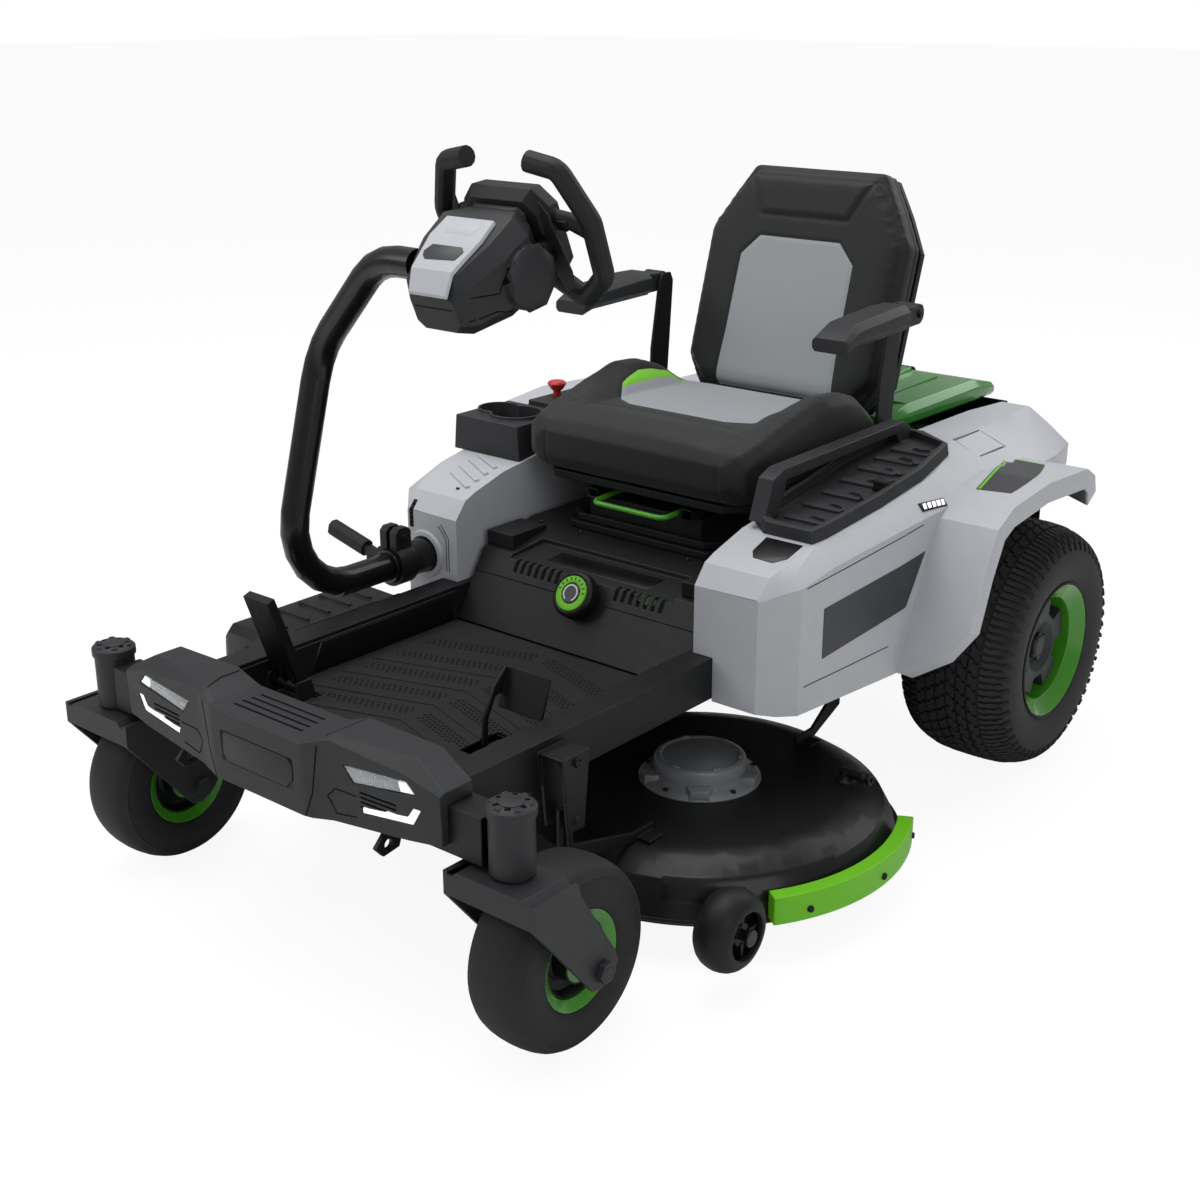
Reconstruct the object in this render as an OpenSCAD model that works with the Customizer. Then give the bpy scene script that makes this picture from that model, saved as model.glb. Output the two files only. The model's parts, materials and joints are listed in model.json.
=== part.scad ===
// Battery zero turn mower with a steering yoke on a swing-away column.
// Machine frame: +X is the driver's left, the front faces -Y, +Z is up.
// Sizes are in millimetres. Heights are above the ground.

/* [Chassis] */
// Distance from the rear axle to the front axles
wheelbase = 1237; // [1100:1:1500]
// Clear width between the two frame rails
rail_gap = 500; // [460:1:620]
// Width of a frame rail
rail_w = 50; // [40:1:60]
// Height of a frame rail
rail_h = 70; // [58:1:84]
// Wall of the square steel tubes
tube_wall = 4; // [3:0.5:6]

/* [Wheels] */
// Radius of a rear tyre
rear_r = 228.6; // [190:0.1:276]
// Width of a rear tyre
rear_w = 220; // [180:1:250]
// Radius of a front tyre
front_r = 138.4; // [115:0.1:168]
// Width of a front tyre
front_w = 106; // [88:1:128]
// Distance that a front axle trails its swivel
trail = 84; // [70:1:100]

/* [Deck] */
// Distance between the two blade spindles
spindle_gap = 534; // [520:1:642]
// Length of a blade
blade_len = 524; // [430:1:530]
// Radius of the deck's rim around a spindle
deck_r = 334; // [300:1:402]
// Height of the deck's rim above the ground
rim_z = 62; // [50:1:75]
// Height of the deck shell
deck_h = 85; // [75:1:102]

/* [Steering] */
// Diameter of the column tube
column_d = 48.8; // [40:0.1:56]
// Bend radius of the column tube
bend_r = 115; // [100:1:128]
// Angle at which the yoke leans to the driver
yoke_lean = 23; // [15:1:30]

/* [Seat] */
// Width of the seat cushion
seat_w = 500; // [420:1:520]
// Thickness of the seat cushion
seat_t = 105; // [88:1:126]
// Height of the backrest
back_h = 440; // [360:1:530]

/* [Hidden] */
$fn = 48;
gap = 0.3;          // clearance between pieces that lie on each other
fit = 0.05;         // radial clearance of a shaft in its bore

// Front end, from the ground up
fork_clear = 6;     // air over the front tyre
crown_t = 9;        // plate of the fork's crown
fork_top = 2 * front_r + fork_clear + crown_t;
thrust_t = 4;       // thrust washer between fork and swivel tube
swivel_bot = fork_top + thrust_t;
rail_bot = swivel_bot + 4;
rt = rail_bot + rail_h;                 // top of the rails
ri = rail_gap / 2;                      // inner face of a rail
ro = ri + rail_w;                       // outer face of a rail
swivel_d = 62;
swivel_x = ro + 126.6;
swivel_y = -wheelbase - trail;
front_x = swivel_x;
stem_d = 25;
fork_in = front_w / 2 + 20;             // inner face of a fork plate
plate_t = 8;

// Rear end
rear_x = ro + 45 + rear_w / 2;          // middle of a rear tyre
rear_out = rear_x + rear_w / 2;
tail_y = 400;                           // back of the rear guard

// Deck
deck_y = -697;
deck_x = spindle_gap / 2;
deck_top = rim_z + deck_h;
guard_t = 16;
cap_r = 76;                             // motor cap
cap_h = 36;
flange_r = 101;
flange_t = 12;
blade_z = rim_z + 24;
spindle_d = 16;
roller_r = 63;
roller_w = 66;
roller_a = 47.2;                        // place of a roller around its spindle, from straight out
roller_off = deck_r + roller_r + 6;
roller_z = rim_z + 38;
roller_pin = 16;
chute_x = 190;                          // reach of the chute past the rim
chute_w = 330;

// Steering
column_x = ro + 40;
column_z = rt + 38;
yoke_at = [0, -820, rt + 650];
head_n = -142;                          // where the column enters the head, in the yoke's own frame
head_v = 15;
sleeve_d = column_d + 13;
sleeve_end = -815;                      // front end of the fixed sleeve
head_in = [-84, yoke_at[1] + head_n * cos(yoke_lean) - head_v * sin(yoke_lean),
           yoke_at[2] + head_n * sin(yoke_lean) + head_v * cos(yoke_lean)];
column_route = [
  [-column_x, sleeve_end + 45, column_z],
  [-column_x, -1051, column_z],
  [-column_x, -936, head_in[2] - 164],
  [-175, head_in[1] + 5, head_in[2]],
  head_in
];

// Seat
box_top = rt + 84;                      // top of the seat box
cushion_z = rt + 187;                   // underside of the cushion
cushion_y = [-565, -95];
back_lean = 17;
back_foot = [0, -122, cushion_z + 78];
arm_z = cushion_z + 244;
arm_x = 280;
arm_pin = [-128, cushion_z + 276];
arm_pin_d = 12;

// Pods
cowl_t = 4;
pod_y = -716;                           // front face of the left pod
pod_in = ri + 12;
fender_x = rear_out + 10;

// Whole machine in the row frame: the middle of its box lies over the origin
left_reach = deck_x + deck_r + guard_t;
right_reach = deck_x + deck_r + chute_x;
front_reach = -swivel_y + 67;
shift = [(right_reach - left_reach) / 2, (front_reach - tail_y) / 2, 0];

// ---------- shared shapes ----------

module in_frame() { translate(shift) children(); }

module both() {
  children();
  mirror([1, 0, 0]) children();
}

// A box between two corners
module block(lo, hi) { translate(lo) cube(hi - lo); }

// A rectangular tube between two corners, open along one axis (0 is x, 1 is y, 2 is z)
module hollow(lo, hi, t, axis) {
  open = [for (i = [0:2]) i == axis ? -1 : t];
  difference() {
    block(lo, hi);
    block(lo + open, hi - open);
  }
}

module bar_x(d, x0, x1) { translate([x0, 0, 0]) rotate([0, 90, 0]) cylinder(d = d, h = x1 - x0); }
module bar_y(d, y0, y1) { translate([0, y0, 0]) rotate([-90, 0, 0]) cylinder(d = d, h = y1 - y0); }

// An outline in y and z, thickened along x
module plate_x(pts, x, t) { translate([x, 0, 0]) rotate([90, 0, 90]) linear_extrude(t) polygon(pts); }

// An outline in x and z, thickened along y
module plate_y(pts, y, t) { translate([0, y + t, 0]) rotate([90, 0, 0]) linear_extrude(t) polygon(pts); }

// A rectangle between two corners with cut corners
function cut_rect(x0, y0, x1, y1, c) = [
  [x0 + c, y0], [x1 - c, y0], [x1, y0 + c], [x1, y1 - c],
  [x1 - c, y1], [x0 + c, y1], [x0, y1 - c], [x0, y0 + c]
];

// A solid through sections of equal point counts, counter-clockwise when seen along the way
module loft(s) {
  n = len(s[0]);
  m = len(s);
  polyhedron(
    points = [for (a = s) for (p = a) p],
    faces = concat(
      [[for (j = [n - 1:-1:0]) j]],
      [[for (j = [0:n - 1]) (m - 1) * n + j]],
      [for (i = [0:m - 2]) for (j = [0:n - 1]) [i * n + j, i * n + (j + 1) % n, (i + 1) * n + (j + 1) % n]],
      [for (i = [0:m - 2]) for (j = [0:n - 1]) [i * n + j, (i + 1) * n + (j + 1) % n, (i + 1) * n + j]]),
    convexity = 6);
}

// A section in x and z at one y
function at_y(y, pts) = [for (p = pts) [p[0], y, p[1]]];

// A turned profile of [radius, place] points about the x axis
module turned_x(pts) { rotate([0, 90, 0]) rotate_extrude() polygon(pts); }

function unit(v) = v / norm(v);

// Points of the arc that rounds the corner b
function corner(a, b, c, r) = let (
    u = unit(b - a),
    v = unit(c - b),
    turn = acos(u * v),
    mid = b + unit(v - u) * r / cos(turn / 2),
    arm = (b - u * r * tan(turn / 2) - mid) / r,
    k = ceil(turn / 18)
  ) [for (i = [0:k]) mid + r * (arm * cos(turn * i / k) + u * sin(turn * i / k))];

// A round bar along a route with one bend radius
module bent_bar(pts, d, r, sides = 12) {
  n = len(pts);
  way = [pts[0], for (i = [1:n - 2]) each corner(pts[i - 1], pts[i], pts[i + 1], r), pts[n - 1]];
  m = len(way);
  dirs = [for (i = [0:m - 1]) unit(way[min(i + 1, m - 1)] - way[max(i - 1, 0)])];
  first = unit(cross(dirs[0], abs(dirs[0][2]) > 0.9 ? [1, 0, 0] : [0, 0, 1]));
  arms = [for (i = 0, v = first; i < m;
               i = i + 1, v = i < m ? unit(v - (v * dirs[i]) * dirs[i]) : v) v];
  loft([for (i = [0:m - 1]) let (v = arms[i], w = cross(v, dirs[i]))
    [for (j = [0:sides - 1]) way[i] + d / 2 * (v * cos(360 * j / sides) + w * sin(360 * j / sides))]]);
}

// ---------- frame ----------

motor_bore = 90;
beam_x = swivel_x - swivel_d / 2;       // the beam's ends meet the swivel tubes
rear_cross_y = 300;
hang_y = [-1100, -380];                 // places of the deck's hangers
hang_z = rail_bot - 48;
hang_d = 12;
deck_lift = 55;                         // how far the deck rises

module main_frame() {
  color("#1d1e20") {
    both() difference() {
      hollow([ri, swivel_y + rail_w / 2, rail_bot], [ro, tail_y - 60, rt], tube_wall, 1);
      translate([0, 0, rt - 20]) block([ri + 20, -20, -1], [ro - 20, 20, 30]);
    }
    difference() {
      hollow([-beam_x, swivel_y - rail_w / 2, rail_bot], [beam_x, swivel_y + rail_w / 2, rt], tube_wall, 0);
      both() translate([swivel_x, swivel_y, 0]) cylinder(d = swivel_d, h = rt + 1);
    }
    for (y = [-640, rear_cross_y]) difference() {
      hollow([-ri, y, rail_bot], [ri, y + rail_w, rail_bot + 40], tube_wall, 0);
      // drain hole
      translate([0, y + rail_w / 2, rail_bot - 1]) cylinder(d = 12, h = 10);
    }
    // plates that carry the wheel motors
    both() difference() {
      plate_x([[-85, rear_r - 80], [85, rear_r - 80], [85, rt], [-85, rt]], ro, 8);
      translate([0, 0, rear_r]) bar_x(motor_bore, ro - 1, ro + 9);
    }
    // posts that carry the battery bay
    both() hollow([ri + 5, rear_cross_y, rt], [ri + 45, rear_cross_y + 40, rt + 110], tube_wall, 2);
    // ears and pins that hang the deck
    for (y = hang_y) both() {
      for (x = [ro, ro + 40]) plate_x([[y - 30, rt - 14], [y + 30, rt - 14], [y + 18, hang_z - 16],
                                       [y - 18, hang_z - 16]], x, 6);
      block([ro, y - 30, rt - 20], [ro + 46, y + 30, rt - 14]);
      translate([0, y, hang_z]) bar_x(hang_d, ro + 1, ro + 50);
    }
    // tow hooks
    both() translate([0, swivel_y, rail_bot]) difference() {
      plate_x([[-23, 1], [9, 1], [-5, -38], [-35, -42], [-49, -26], [-31, -8]], ro - 87, 8);
      translate([0, -25, -26]) bar_x(14, ro - 90, ro - 70);
    }
  }
}

module swivel_tubes() {
  color("#2b2c2e") both() translate([swivel_x, swivel_y, 0]) {
    difference() {
      translate([0, 0, swivel_bot]) cylinder(d = swivel_d, h = rt + 8 - swivel_bot);
      translate([0, 0, swivel_bot - 1]) cylinder(d = stem_d + 2 * fit, h = rt + 10 - swivel_bot);
    }
    // dust cap
    translate([0, 0, rt + 8]) difference() {
      union() {
        cylinder(d = swivel_d + 6, h = 13);
        translate([0, 0, 13]) cylinder(d1 = swivel_d + 6, d2 = swivel_d - 12, h = 5);
      }
      translate([0, 0, -1]) cylinder(d = 44, h = 10);
      for (a = [0:60:300]) rotate(a) translate([21, 0, 15.5]) cube([8, 7, 6], center = true);
    }
  }
}

// ---------- bumper, lights and floor ----------

front_y = -front_reach;
beam_front = swivel_y - rail_w / 2;

// The cover's section across x: [x, front y, lower z, upper z, top setback]
function bumper_cut(x, yf, zb, zs, zt, yt, yr) = [
  [x, yr, zb], [x, yf + 2, zb], [x, yf, zs], [x, yt, zt], [x, yr, zt]
];

module bumper_half() {
  loft([
    bumper_cut(0, front_y, rt - 80, rt + 30, rt + 36, front_y + 12, beam_front + 50),
    bumper_cut(94, front_y, rt - 80, rt + 30, rt + 36, front_y + 12, beam_front + 50),
    bumper_cut(108, front_y + 3, rt - 80, rt + 36, rt + 40, front_y + 14, beam_front + 50),
    bumper_cut(143, front_y + 12, rt - 76, rt + 46, rt + 52, front_y + 34, beam_front + 50),
    bumper_cut(282, front_y + 20, rt - 62, rt + 34, rt + 50, front_y + 44, beam_front + 50),
    bumper_cut(338, front_y + 27, rt - 56, rt + 16, rt + 20, front_y + 36, beam_front + 46)
  ]);
}

module lens_shape(grow) {
  plate_y([[168 - grow, rt + 17], [184 - grow, rt - 6 - grow], [298 + grow, rt + 8 - grow],
           [282 + grow, rt + 25 + grow]], front_y - 5, 40);
}

module running_light(grow, deep) {
  plate_y([[200 - grow, rt - 46 - grow], [290 + grow, rt - 36 - grow], [304 + grow, rt - 12 + grow],
           [292 - grow, rt - 12 + grow], [282 - grow, rt - 27 + grow], [200 - grow, rt - 38 + grow]],
          front_y + 4, deep);
}

module bumper_cover() {
  color("#2c2d30") difference() {
    both() bumper_half();
    // room for the beam, and the hollow behind the skin
    block([-400, beam_front - gap, rt - 200], [400, beam_front + 80, rt + gap]);
    both() block([8, front_y + 22, rt - 100], [134, beam_front + 1, rt + 20]);
    both() block([140, front_y + 36, rt - 100], [320, beam_front + 1, rt - 8]);
    // grooves of the step in the middle
    for (i = [0:3]) translate([0, front_y + 26 + i * 15, rt + 34]) cube([150 - i * 4, 5, 8], center = true);
    // seats of the lights and of the name plate
    both() lens_shape(0.3);
    block([-78, front_y - 1, rt - 46], [78, front_y + 4, rt + 2]);
    both() running_light(gap, 30);
    // louvres beside the running lights
    both() for (i = [0:3]) block([196, front_y - 1, rt - 18 - i * 7], [262, front_y + 30, rt - 15 - i * 7]);
  }
}

module headlights() {
  color("#d9dde0") {
    both() intersection() {
      lens_shape(0);
      translate([0, 2, 0]) bumper_half();
      block([0, front_y, rt - 40], [400, front_y + 34, rt + 40]);
    }
    both() intersection() {
      running_light(0, 28);
      translate([0, 2, 0]) bumper_half();
      block([0, front_y, 0], [400, front_y + 34, rt + 40]);
    }
  }
}

floor_front = swivel_y + rail_w / 2 + 24;
floor_rear = -735;
floor_under = -650;                     // the pan's rear edge, under the seat box
floor_z = rail_bot + 8;

lift_x = ri - 100;                      // middle of the lift pedal's arm
lift_pivot = [-1087, floor_z - 26];
drive_pivot = [-1150, rt - 40];
pedal_pin = 12;
ear_t = 5;                              // plate of the pedals' ears

module floor_pan() {
  color("#202124") {
    difference() {
      block([-ri + gap, floor_front, floor_z - 6], [ri - gap, floor_under, floor_z]);
      block([lift_x - 5, -1124, floor_z - 10], [lift_x + 10, -1050, floor_z + 1]);
    }
    // side folds that stand against the rails
    both() block([ri - 4, floor_front, floor_z - 1], [ri - gap, floor_rear, rt - 6]);
    // slanted toe board
    plate_x([[floor_front, floor_z - 1], [floor_front, rt + 4], [floor_front + 4, rt + 4],
             [floor_front + 16, floor_z - 1]], -ri + 5, rail_gap - 10);
    // ears and pins of the pedals
    for (x = [lift_x - 16, lift_x + 14])
      plate_x([[-1100, floor_z - 38], [-1074, floor_z - 38], [-1066, floor_z - 5], [-1108, floor_z - 5]],
              x, ear_t);
    translate([0, lift_pivot[0], lift_pivot[1]]) bar_x(pedal_pin, lift_x - 15, lift_x + 18);
    for (x = [-247, -178])
      plate_x([[-1174, floor_z - 1], [-1126, floor_z - 1], [-1136, rt - 26], [-1164, rt - 26]], x, ear_t);
    translate([0, drive_pivot[0], drive_pivot[1]]) bar_x(pedal_pin, -246, -174);
  }
}

module floor_mat() {
  color("#2a2b2d") difference() {
    union() {
      block([-ri + 8, floor_front + 20, floor_z + gap], [ri - 8, floor_rear - 6, floor_z + 4]);
      for (i = [0:4]) both() translate([0, floor_front + 90 + i * 72, floor_z + 3])
        linear_extrude(3) polygon([[0, 0], [ri - 30, -70], [ri - 30, -46], [0, 24]]);
    }
    block([ri - 108, -1128, floor_z - 1], [ri - 86, -1044, floor_z + 9]);
    // room for the drive pedal's ears
    block([-ri, -1180, floor_z - 1], [-168, -1120, floor_z + 9]);
  }
}

// ---------- seat box ----------

box_y = [[-733, floor_z + 3], [-674, rt + 34], [-660, rt + 57]];

panel_lean = atan((box_y[1][0] - box_y[0][0]) / (box_y[1][1] - box_y[0][1]));
dial_shaft = 16;
dial_up = 80;                           // height of the dial's centre over the panel's lower edge
dial_at = [0, box_y[0][0] + dial_up * tan(panel_lean), box_y[0][1] + dial_up];

module dial_frame() { translate(dial_at) rotate([-panel_lean, 0, 0]) children(); }

// Recess in the front edge of the seat box, grown on all sides
module front_recess(e) {
  loft([
    [[-185 - e, -690, rt + 44 - e], [185 + e, -690, rt + 44 - e], [185 + e, -690, rt + 80],
     [-185 - e, -690, rt + 80]],
    [[-167 - e, -590 + e, rt + 62 - e], [167 + e, -590 + e, rt + 62 - e], [167 + e, -590 + e, rt + 90],
     [-167 - e, -590 + e, rt + 90]]
  ]);
}

module seat_box() {
  outer = concat(box_y, [[-526, box_top], [-70, box_top], [-70, floor_z + 3]]);
  inner = [[-728, floor_z + 2], [-670, rt + 34], [-657, rt + 53], [-526, box_top - 4], [-74, box_top - 4],
           [-74, floor_z + 2]];
  color("#222326") {
    difference() {
      plate_x(outer, -ri + gap, rail_gap - 2 * gap);
      plate_x(inner, -ri + 4, rail_gap - 8);
      // recess with the slots under the front edge
      front_recess(0);
      both() for (i = [0:6]) block([62 + i * 16, -680, rt + 30], [69 + i * 16, -650, rt + 50]);
      dial_frame() bar_y(dial_shaft + 8, -30, 30);
      // room for the frame's cross member
      block([-ri, -640 - gap, 0], [ri, -640 + rail_w + gap, rail_bot + 40 + gap]);
      // opening for the suspension
      block([-142, -520, box_top - 10], [142, -160, box_top + 5]);
    }
    // tub of the recess
    difference() {
      intersection() {
        plate_x(outer, -ri + gap, rail_gap - 2 * gap);
        front_recess(4);
      }
      front_recess(0);
      both() for (i = [0:6]) block([62 + i * 16, -680, rt + 30], [69 + i * 16, -650, rt + 50]);
    }
    // boss that carries the dial
    dial_frame() difference() {
      bar_y(dial_shaft + 20, -2, 26);
      bar_y(dial_shaft, -3, 27);
    }
    both() block([187, -650, rt + 60], [ri - gap, -560, box_top + 2]);
  }
}

module seat_boot() {
  color("#17181a") for (i = [0:1]) translate([0, 0, box_top + gap + i * 14])
    difference() {
      linear_extrude(12) polygon(cut_rect(-176 + i * 10, -534 + i * 8, 176 - i * 10, -146 - i * 8, 26));
      translate([0, 0, -1]) linear_extrude(14) polygon(cut_rect(-142, -520, 142, -160, 14));
    }
}

// ---------- pods ----------

function pod_top(y) = rt + lookup(y, [[pod_y, 114], [-690, 146], [-666, 156], [-590, 178], [-420, 202],
                                      [-300, 222], [-160, 232], [160, 232], [300, 224], [345, 210]]);

function pod_cut(y, xo, zb, zs, xt, inset = 0) = let (e = inset) at_y(y, [
  [pod_in + e, zb - e * 3], [xo - e, zb - e * 3], [xo - e, zs - e],
  [(xo + xt) / 2 - e * 0.7, (zs + pod_top(y)) / 2 + 3 - e], [xt - e * 0.5, pod_top(y) - e],
  [pod_in + e, pod_top(y) - e]
]);

pod_skirt = rail_bot - 10;
tyre_clear = rear_r * 2 + 36;           // underside of the pods over the tyres

function pod_sections(e) = [
  pod_cut(pod_y + e, ro + 84, pod_skirt + 6, rt + 112, ro + 80, e),
  pod_cut(-690, ro + 108, pod_skirt, rt + 124, ro + 84, e),
  pod_cut(-666, ro + 131, pod_skirt, rt + 132, ro + 92, e),
  pod_cut(-590, ro + 140, pod_skirt, rt + 150, ro + 104, e),
  pod_cut(-420, ro + 160, pod_skirt, rt + 172, ro + 120, e),
  pod_cut(-rear_r - 75, ro + 168, pod_skirt + 30, rt + 182, ro + 128, e),
  pod_cut(-rear_r - 12, ro + 168, (pod_skirt + tyre_clear) / 2 + 40, rt + 186, ro + 118, e),
  pod_cut(-160, ro + 168, tyre_clear - 4, rt + 188, ro + 92, e),
  pod_cut(door_y[0], ro + 166, tyre_clear - 2, rt + 182, ro + 46, e),
  pod_cut(door_y[1], ro + 160, tyre_clear - 2, rt + 180, ro + 40, e),
  pod_cut(160, ro + 150, tyre_clear, rt + 176, ro + 36, e),
  pod_cut(300, ro + 110, tyre_clear, rt + 164, ro + 20, e),
  pod_cut(345 - e, ro + 70, tyre_clear, rt + 156, ro + 5, e)
];

door_y = [-70, 60];

// Outer edge of the fender as [y, z, outer x]
fender_path = [
  [-rear_r - 190, pod_skirt + 4, ro + 178], [-rear_r - 172, rt - 40, ro + 240],
  [-rear_r - 156, rt + 12, fender_x],
  [-rear_r - 122, rt + 100, fender_x], [-rear_r - 84, rt + 170, fender_x], [-rear_r - 34, rt + 196, fender_x],
  [-134, rt + 210, fender_x], [18, rt + 202, fender_x], [62, rt + 180, fender_x - 4],
  [86, rt + 144, fender_x - 10]
];

function fender_cut(i) = let (
    p = fender_path[i],
    a = fender_path[max(i - 1, 0)],
    b = fender_path[min(i + 1, len(fender_path) - 1)],
    along = unit([b[0] - a[0], b[1] - a[1]]),
    inward = [along[1], -along[0]],
    q = [p[0], p[1]] + inward * 5,
    s = [p[0], p[1]] + inward * 36,
    xi = ro + 150
  ) [
    [xi, p[0], p[1]], [xi, q[0], q[1]], [p[2] - 5, q[0], q[1]], [p[2] - 5, s[0], s[1]],
    [p[2], s[0], s[1]], [p[2], p[0], p[1]]
  ];

module pod_shell() {
  difference() {
    loft(pod_sections(0));
    loft(pod_sections(cowl_t));
    // notch over the rail
    block([0, pod_y - 10, 0], [ro + gap, 400, rt + gap]);
    block([0, rear_cross_y - 1, 0], [ri + 46, 500, rt + 111]);
  }
  loft([for (i = [0:len(fender_path) - 1]) fender_cut(i)]);
}

// Frame of the charging door, which lies on the pod's slope
door_lo = [ro + 104, rt + 206];
door_hi = [ro + 44, rt + 231];
door_lean = atan((door_hi[1] - door_lo[1]) / (door_lo[0] - door_hi[0]));
door_size = [52, 92];
door_pin = 2.6;
door_eye = 6;                           // outer diameter of the door's hinge
door_low = -3;                          // hinge and underside of the door, from its slope

module door_frame() {
  translate([(door_lo[0] + door_hi[0]) / 2, (door_y[0] + door_y[1]) / 2, (door_lo[1] + door_hi[1]) / 2])
    rotate([0, door_lean, 0]) children();
}

module cowl_left() {
  w = door_size / 2;
  color("#b9bcc1") {
    difference() {
      pod_shell();
      door_frame() block([-w[0] - 5, -w[1] - 5, -9], [w[0] + 5, w[1] + 5, 30]);
    }
    // well under the charging door
    door_frame() difference() {
      block([-w[0] - 8, -w[1] - 8, -26], [w[0] + 8, w[1] + 8, -1]);
      block([-w[0] - 5, -w[1] - 3, -22], [w[0] + 3, w[1] + 3, 5]);
      translate([-w[0], 0, door_low]) bar_y(door_pin + 2 * fit, -w[1] - 6, w[1] + 6);
    }
  }
}

module charge_door() {
  w = door_size / 2;
  color("#b4b7bc") door_frame() {
    block([-w[0], -w[1], door_low], [w[0], w[1], 1]);
    translate([-w[0], 0, door_low]) {
      bar_y(door_eye, -w[1], w[1]);
      bar_y(door_pin, -w[1] - 4.8, w[1] + 4.8);
    }
  }
}

module cowl_right() {
  color("#b9bcc1") {
    difference() {
      mirror([1, 0, 0]) pod_shell();
      translate([-column_x, 0, column_z]) bar_y(sleeve_d + 1, -760, -640);
      for (i = [0:8]) block([-ro - 126, pod_y - 2, rt - 20 + i * 16], [-ro - 92, -640, rt - 10 + i * 16]);
      translate([0, 0, rt + 120]) linear_extrude(150) cup_outline(8 + 2 * gap);
    }
  }
}

tray_y = [-592, -110];

function tray_cut(y, x0, x1, lo, hi) = at_y(y, [
  [x0, pod_top(y) + lo], [x1, pod_top(y) + lo], [x1 - 4, pod_top(y) + hi], [x0 + 4, pod_top(y) + hi]
]);

module tray_body(s, lo, hi) {
  loft([
    tray_cut(tray_y[0] + s, pod_in + 42 + s, ro + 98 - s, lo, hi),
    tray_cut(-560, pod_in + 2 + s, ro + 106 - s, lo, hi),
    tray_cut(-420, pod_in + 2 + s, ro + 118 - s, lo, hi),
    tray_cut(-300, pod_in + 2 + s, ro + 124 - s, lo, hi),
    tray_cut(-160, pod_in + 2 + s, ro + 96 - s, lo, hi),
    tray_cut(tray_y[1] - s, pod_in + 2 + s, ro + 20 - s, lo, hi)
  ]);
}

module tray_left() {
  color("#2e2f32") {
    difference() {
      tray_body(0, gap, 22);
      tray_body(12, 8, 30);
    }
    // cross ribs on the tray's floor
    for (i = [0:6]) translate([0, -540 + i * 55, pod_top(-540 + i * 55) + 7])
      rotate([8, 0, 0]) block([pod_in + 50, -7, 0], [ro + 84, 7, 8]);
    // grab rail
    plate_x([[-585, pod_top(-585) + 12], [-560, rt + 258], [-530, rt + 270], [-150, rt + 276],
             [-126, rt + 262], [-134, rt + 240], [-164, rt + 240], [-176, rt + 258], [-520, rt + 250],
             [-540, pod_top(-540) + 12]], pod_in + 8, 30);
  }
}

cup_y = [-545, -400];
cup_top = rt + 250;

cups = [[-ro - 84, -470, 72], [-ro - 32, -478, 92]];

module cup_outline(grow) {
  for (c = cups) translate([c[0], c[1]]) circle(d = c[2] + grow);
}

module cup_holder() {
  color("#26272a") difference() {
    union() {
      loft([for (y = [cup_y[0], -420, cup_y[1]]) at_y(y, [
        [-ro - 130, pod_top(y) + gap], [-pod_in - 4, pod_top(y) + gap],
        [-pod_in - 8, cup_top], [-ro - 124, cup_top]])]);
      translate([0, 0, rt + 150]) linear_extrude(cup_top + 7 - rt - 150) cup_outline(8);
    }
    translate([0, 0, rt + 156]) linear_extrude(150) cup_outline(0);
  }
}

panel_y = [-396, -300, -166];
knob_at = [-ro - 56, -336];
knob_stem = 16;
panel_z = rt + 252;

module control_panel() {
  color("#232427") difference() {
    loft([for (y = panel_y) at_y(y, [
      [-ro - 84, pod_top(y) + gap], [-pod_in - 4, pod_top(y) + gap],
      [-pod_in - 8, panel_z + 6], [-ro - 76, panel_z + 6]])]);
    translate([knob_at[0], knob_at[1], panel_z - 28]) cylinder(d = knob_stem + 2 * fit, h = 60);
  }
}

module stop_knob() {
  color("#c8322c") translate([knob_at[0], knob_at[1], 0]) {
    translate([0, 0, panel_z - 16]) cylinder(d = knob_stem, h = 42);
    translate([0, 0, panel_z + 18]) cylinder(d1 = 22, d2 = 38, h = 12);
    translate([0, 0, panel_z + 30]) cylinder(d1 = 38, d2 = 30, h = 5);
  }
}

// ---------- battery bay, hood and back ----------

bay_y = [-40, 340];
hood_z = rt + 226;
bay_x = pod_in - 6;

module battery_bay() {
  color("#1b1c1e") difference() {
    block([-bay_x, bay_y[0], rt + gap], [bay_x, bay_y[1], hood_z - 8]);
    block([-bay_x + 4, bay_y[0] + 4, rt + 5], [bay_x - 4, bay_y[1] - 4, hood_z + 1]);
    both() block([ri + 4, rear_cross_y - 1, 0], [bay_x + 5, 500, rt + 111]);
  }
  // ears and pins of the hood's hinge
  color("#1b1c1e") both() translate([0, hinge[0], hinge[1]]) {
    for (x = [82, 142]) {
      block([x, -5, -30], [x + 6, 10, -12]);
      block([x, -5, -20], [x + 6, 5, 0]);
      bar_x(hinge_d + 4, x, x + 6);
    }
    bar_x(hinge_d, 83, 147);
  }
}

hinge_d = 6;

module battery_packs() {
  color("#3a3d40") for (x = [-150, -50, 50, 150])
    translate([x - 43, bay_y[0] + 60, rt + 5 + gap]) {
      cube([86, 230, 150]);
      translate([23, 40, 150]) cube([40, 150, 22]);
    }
}

hinge = [bay_y[0] - 8, hood_z + 2];

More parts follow.
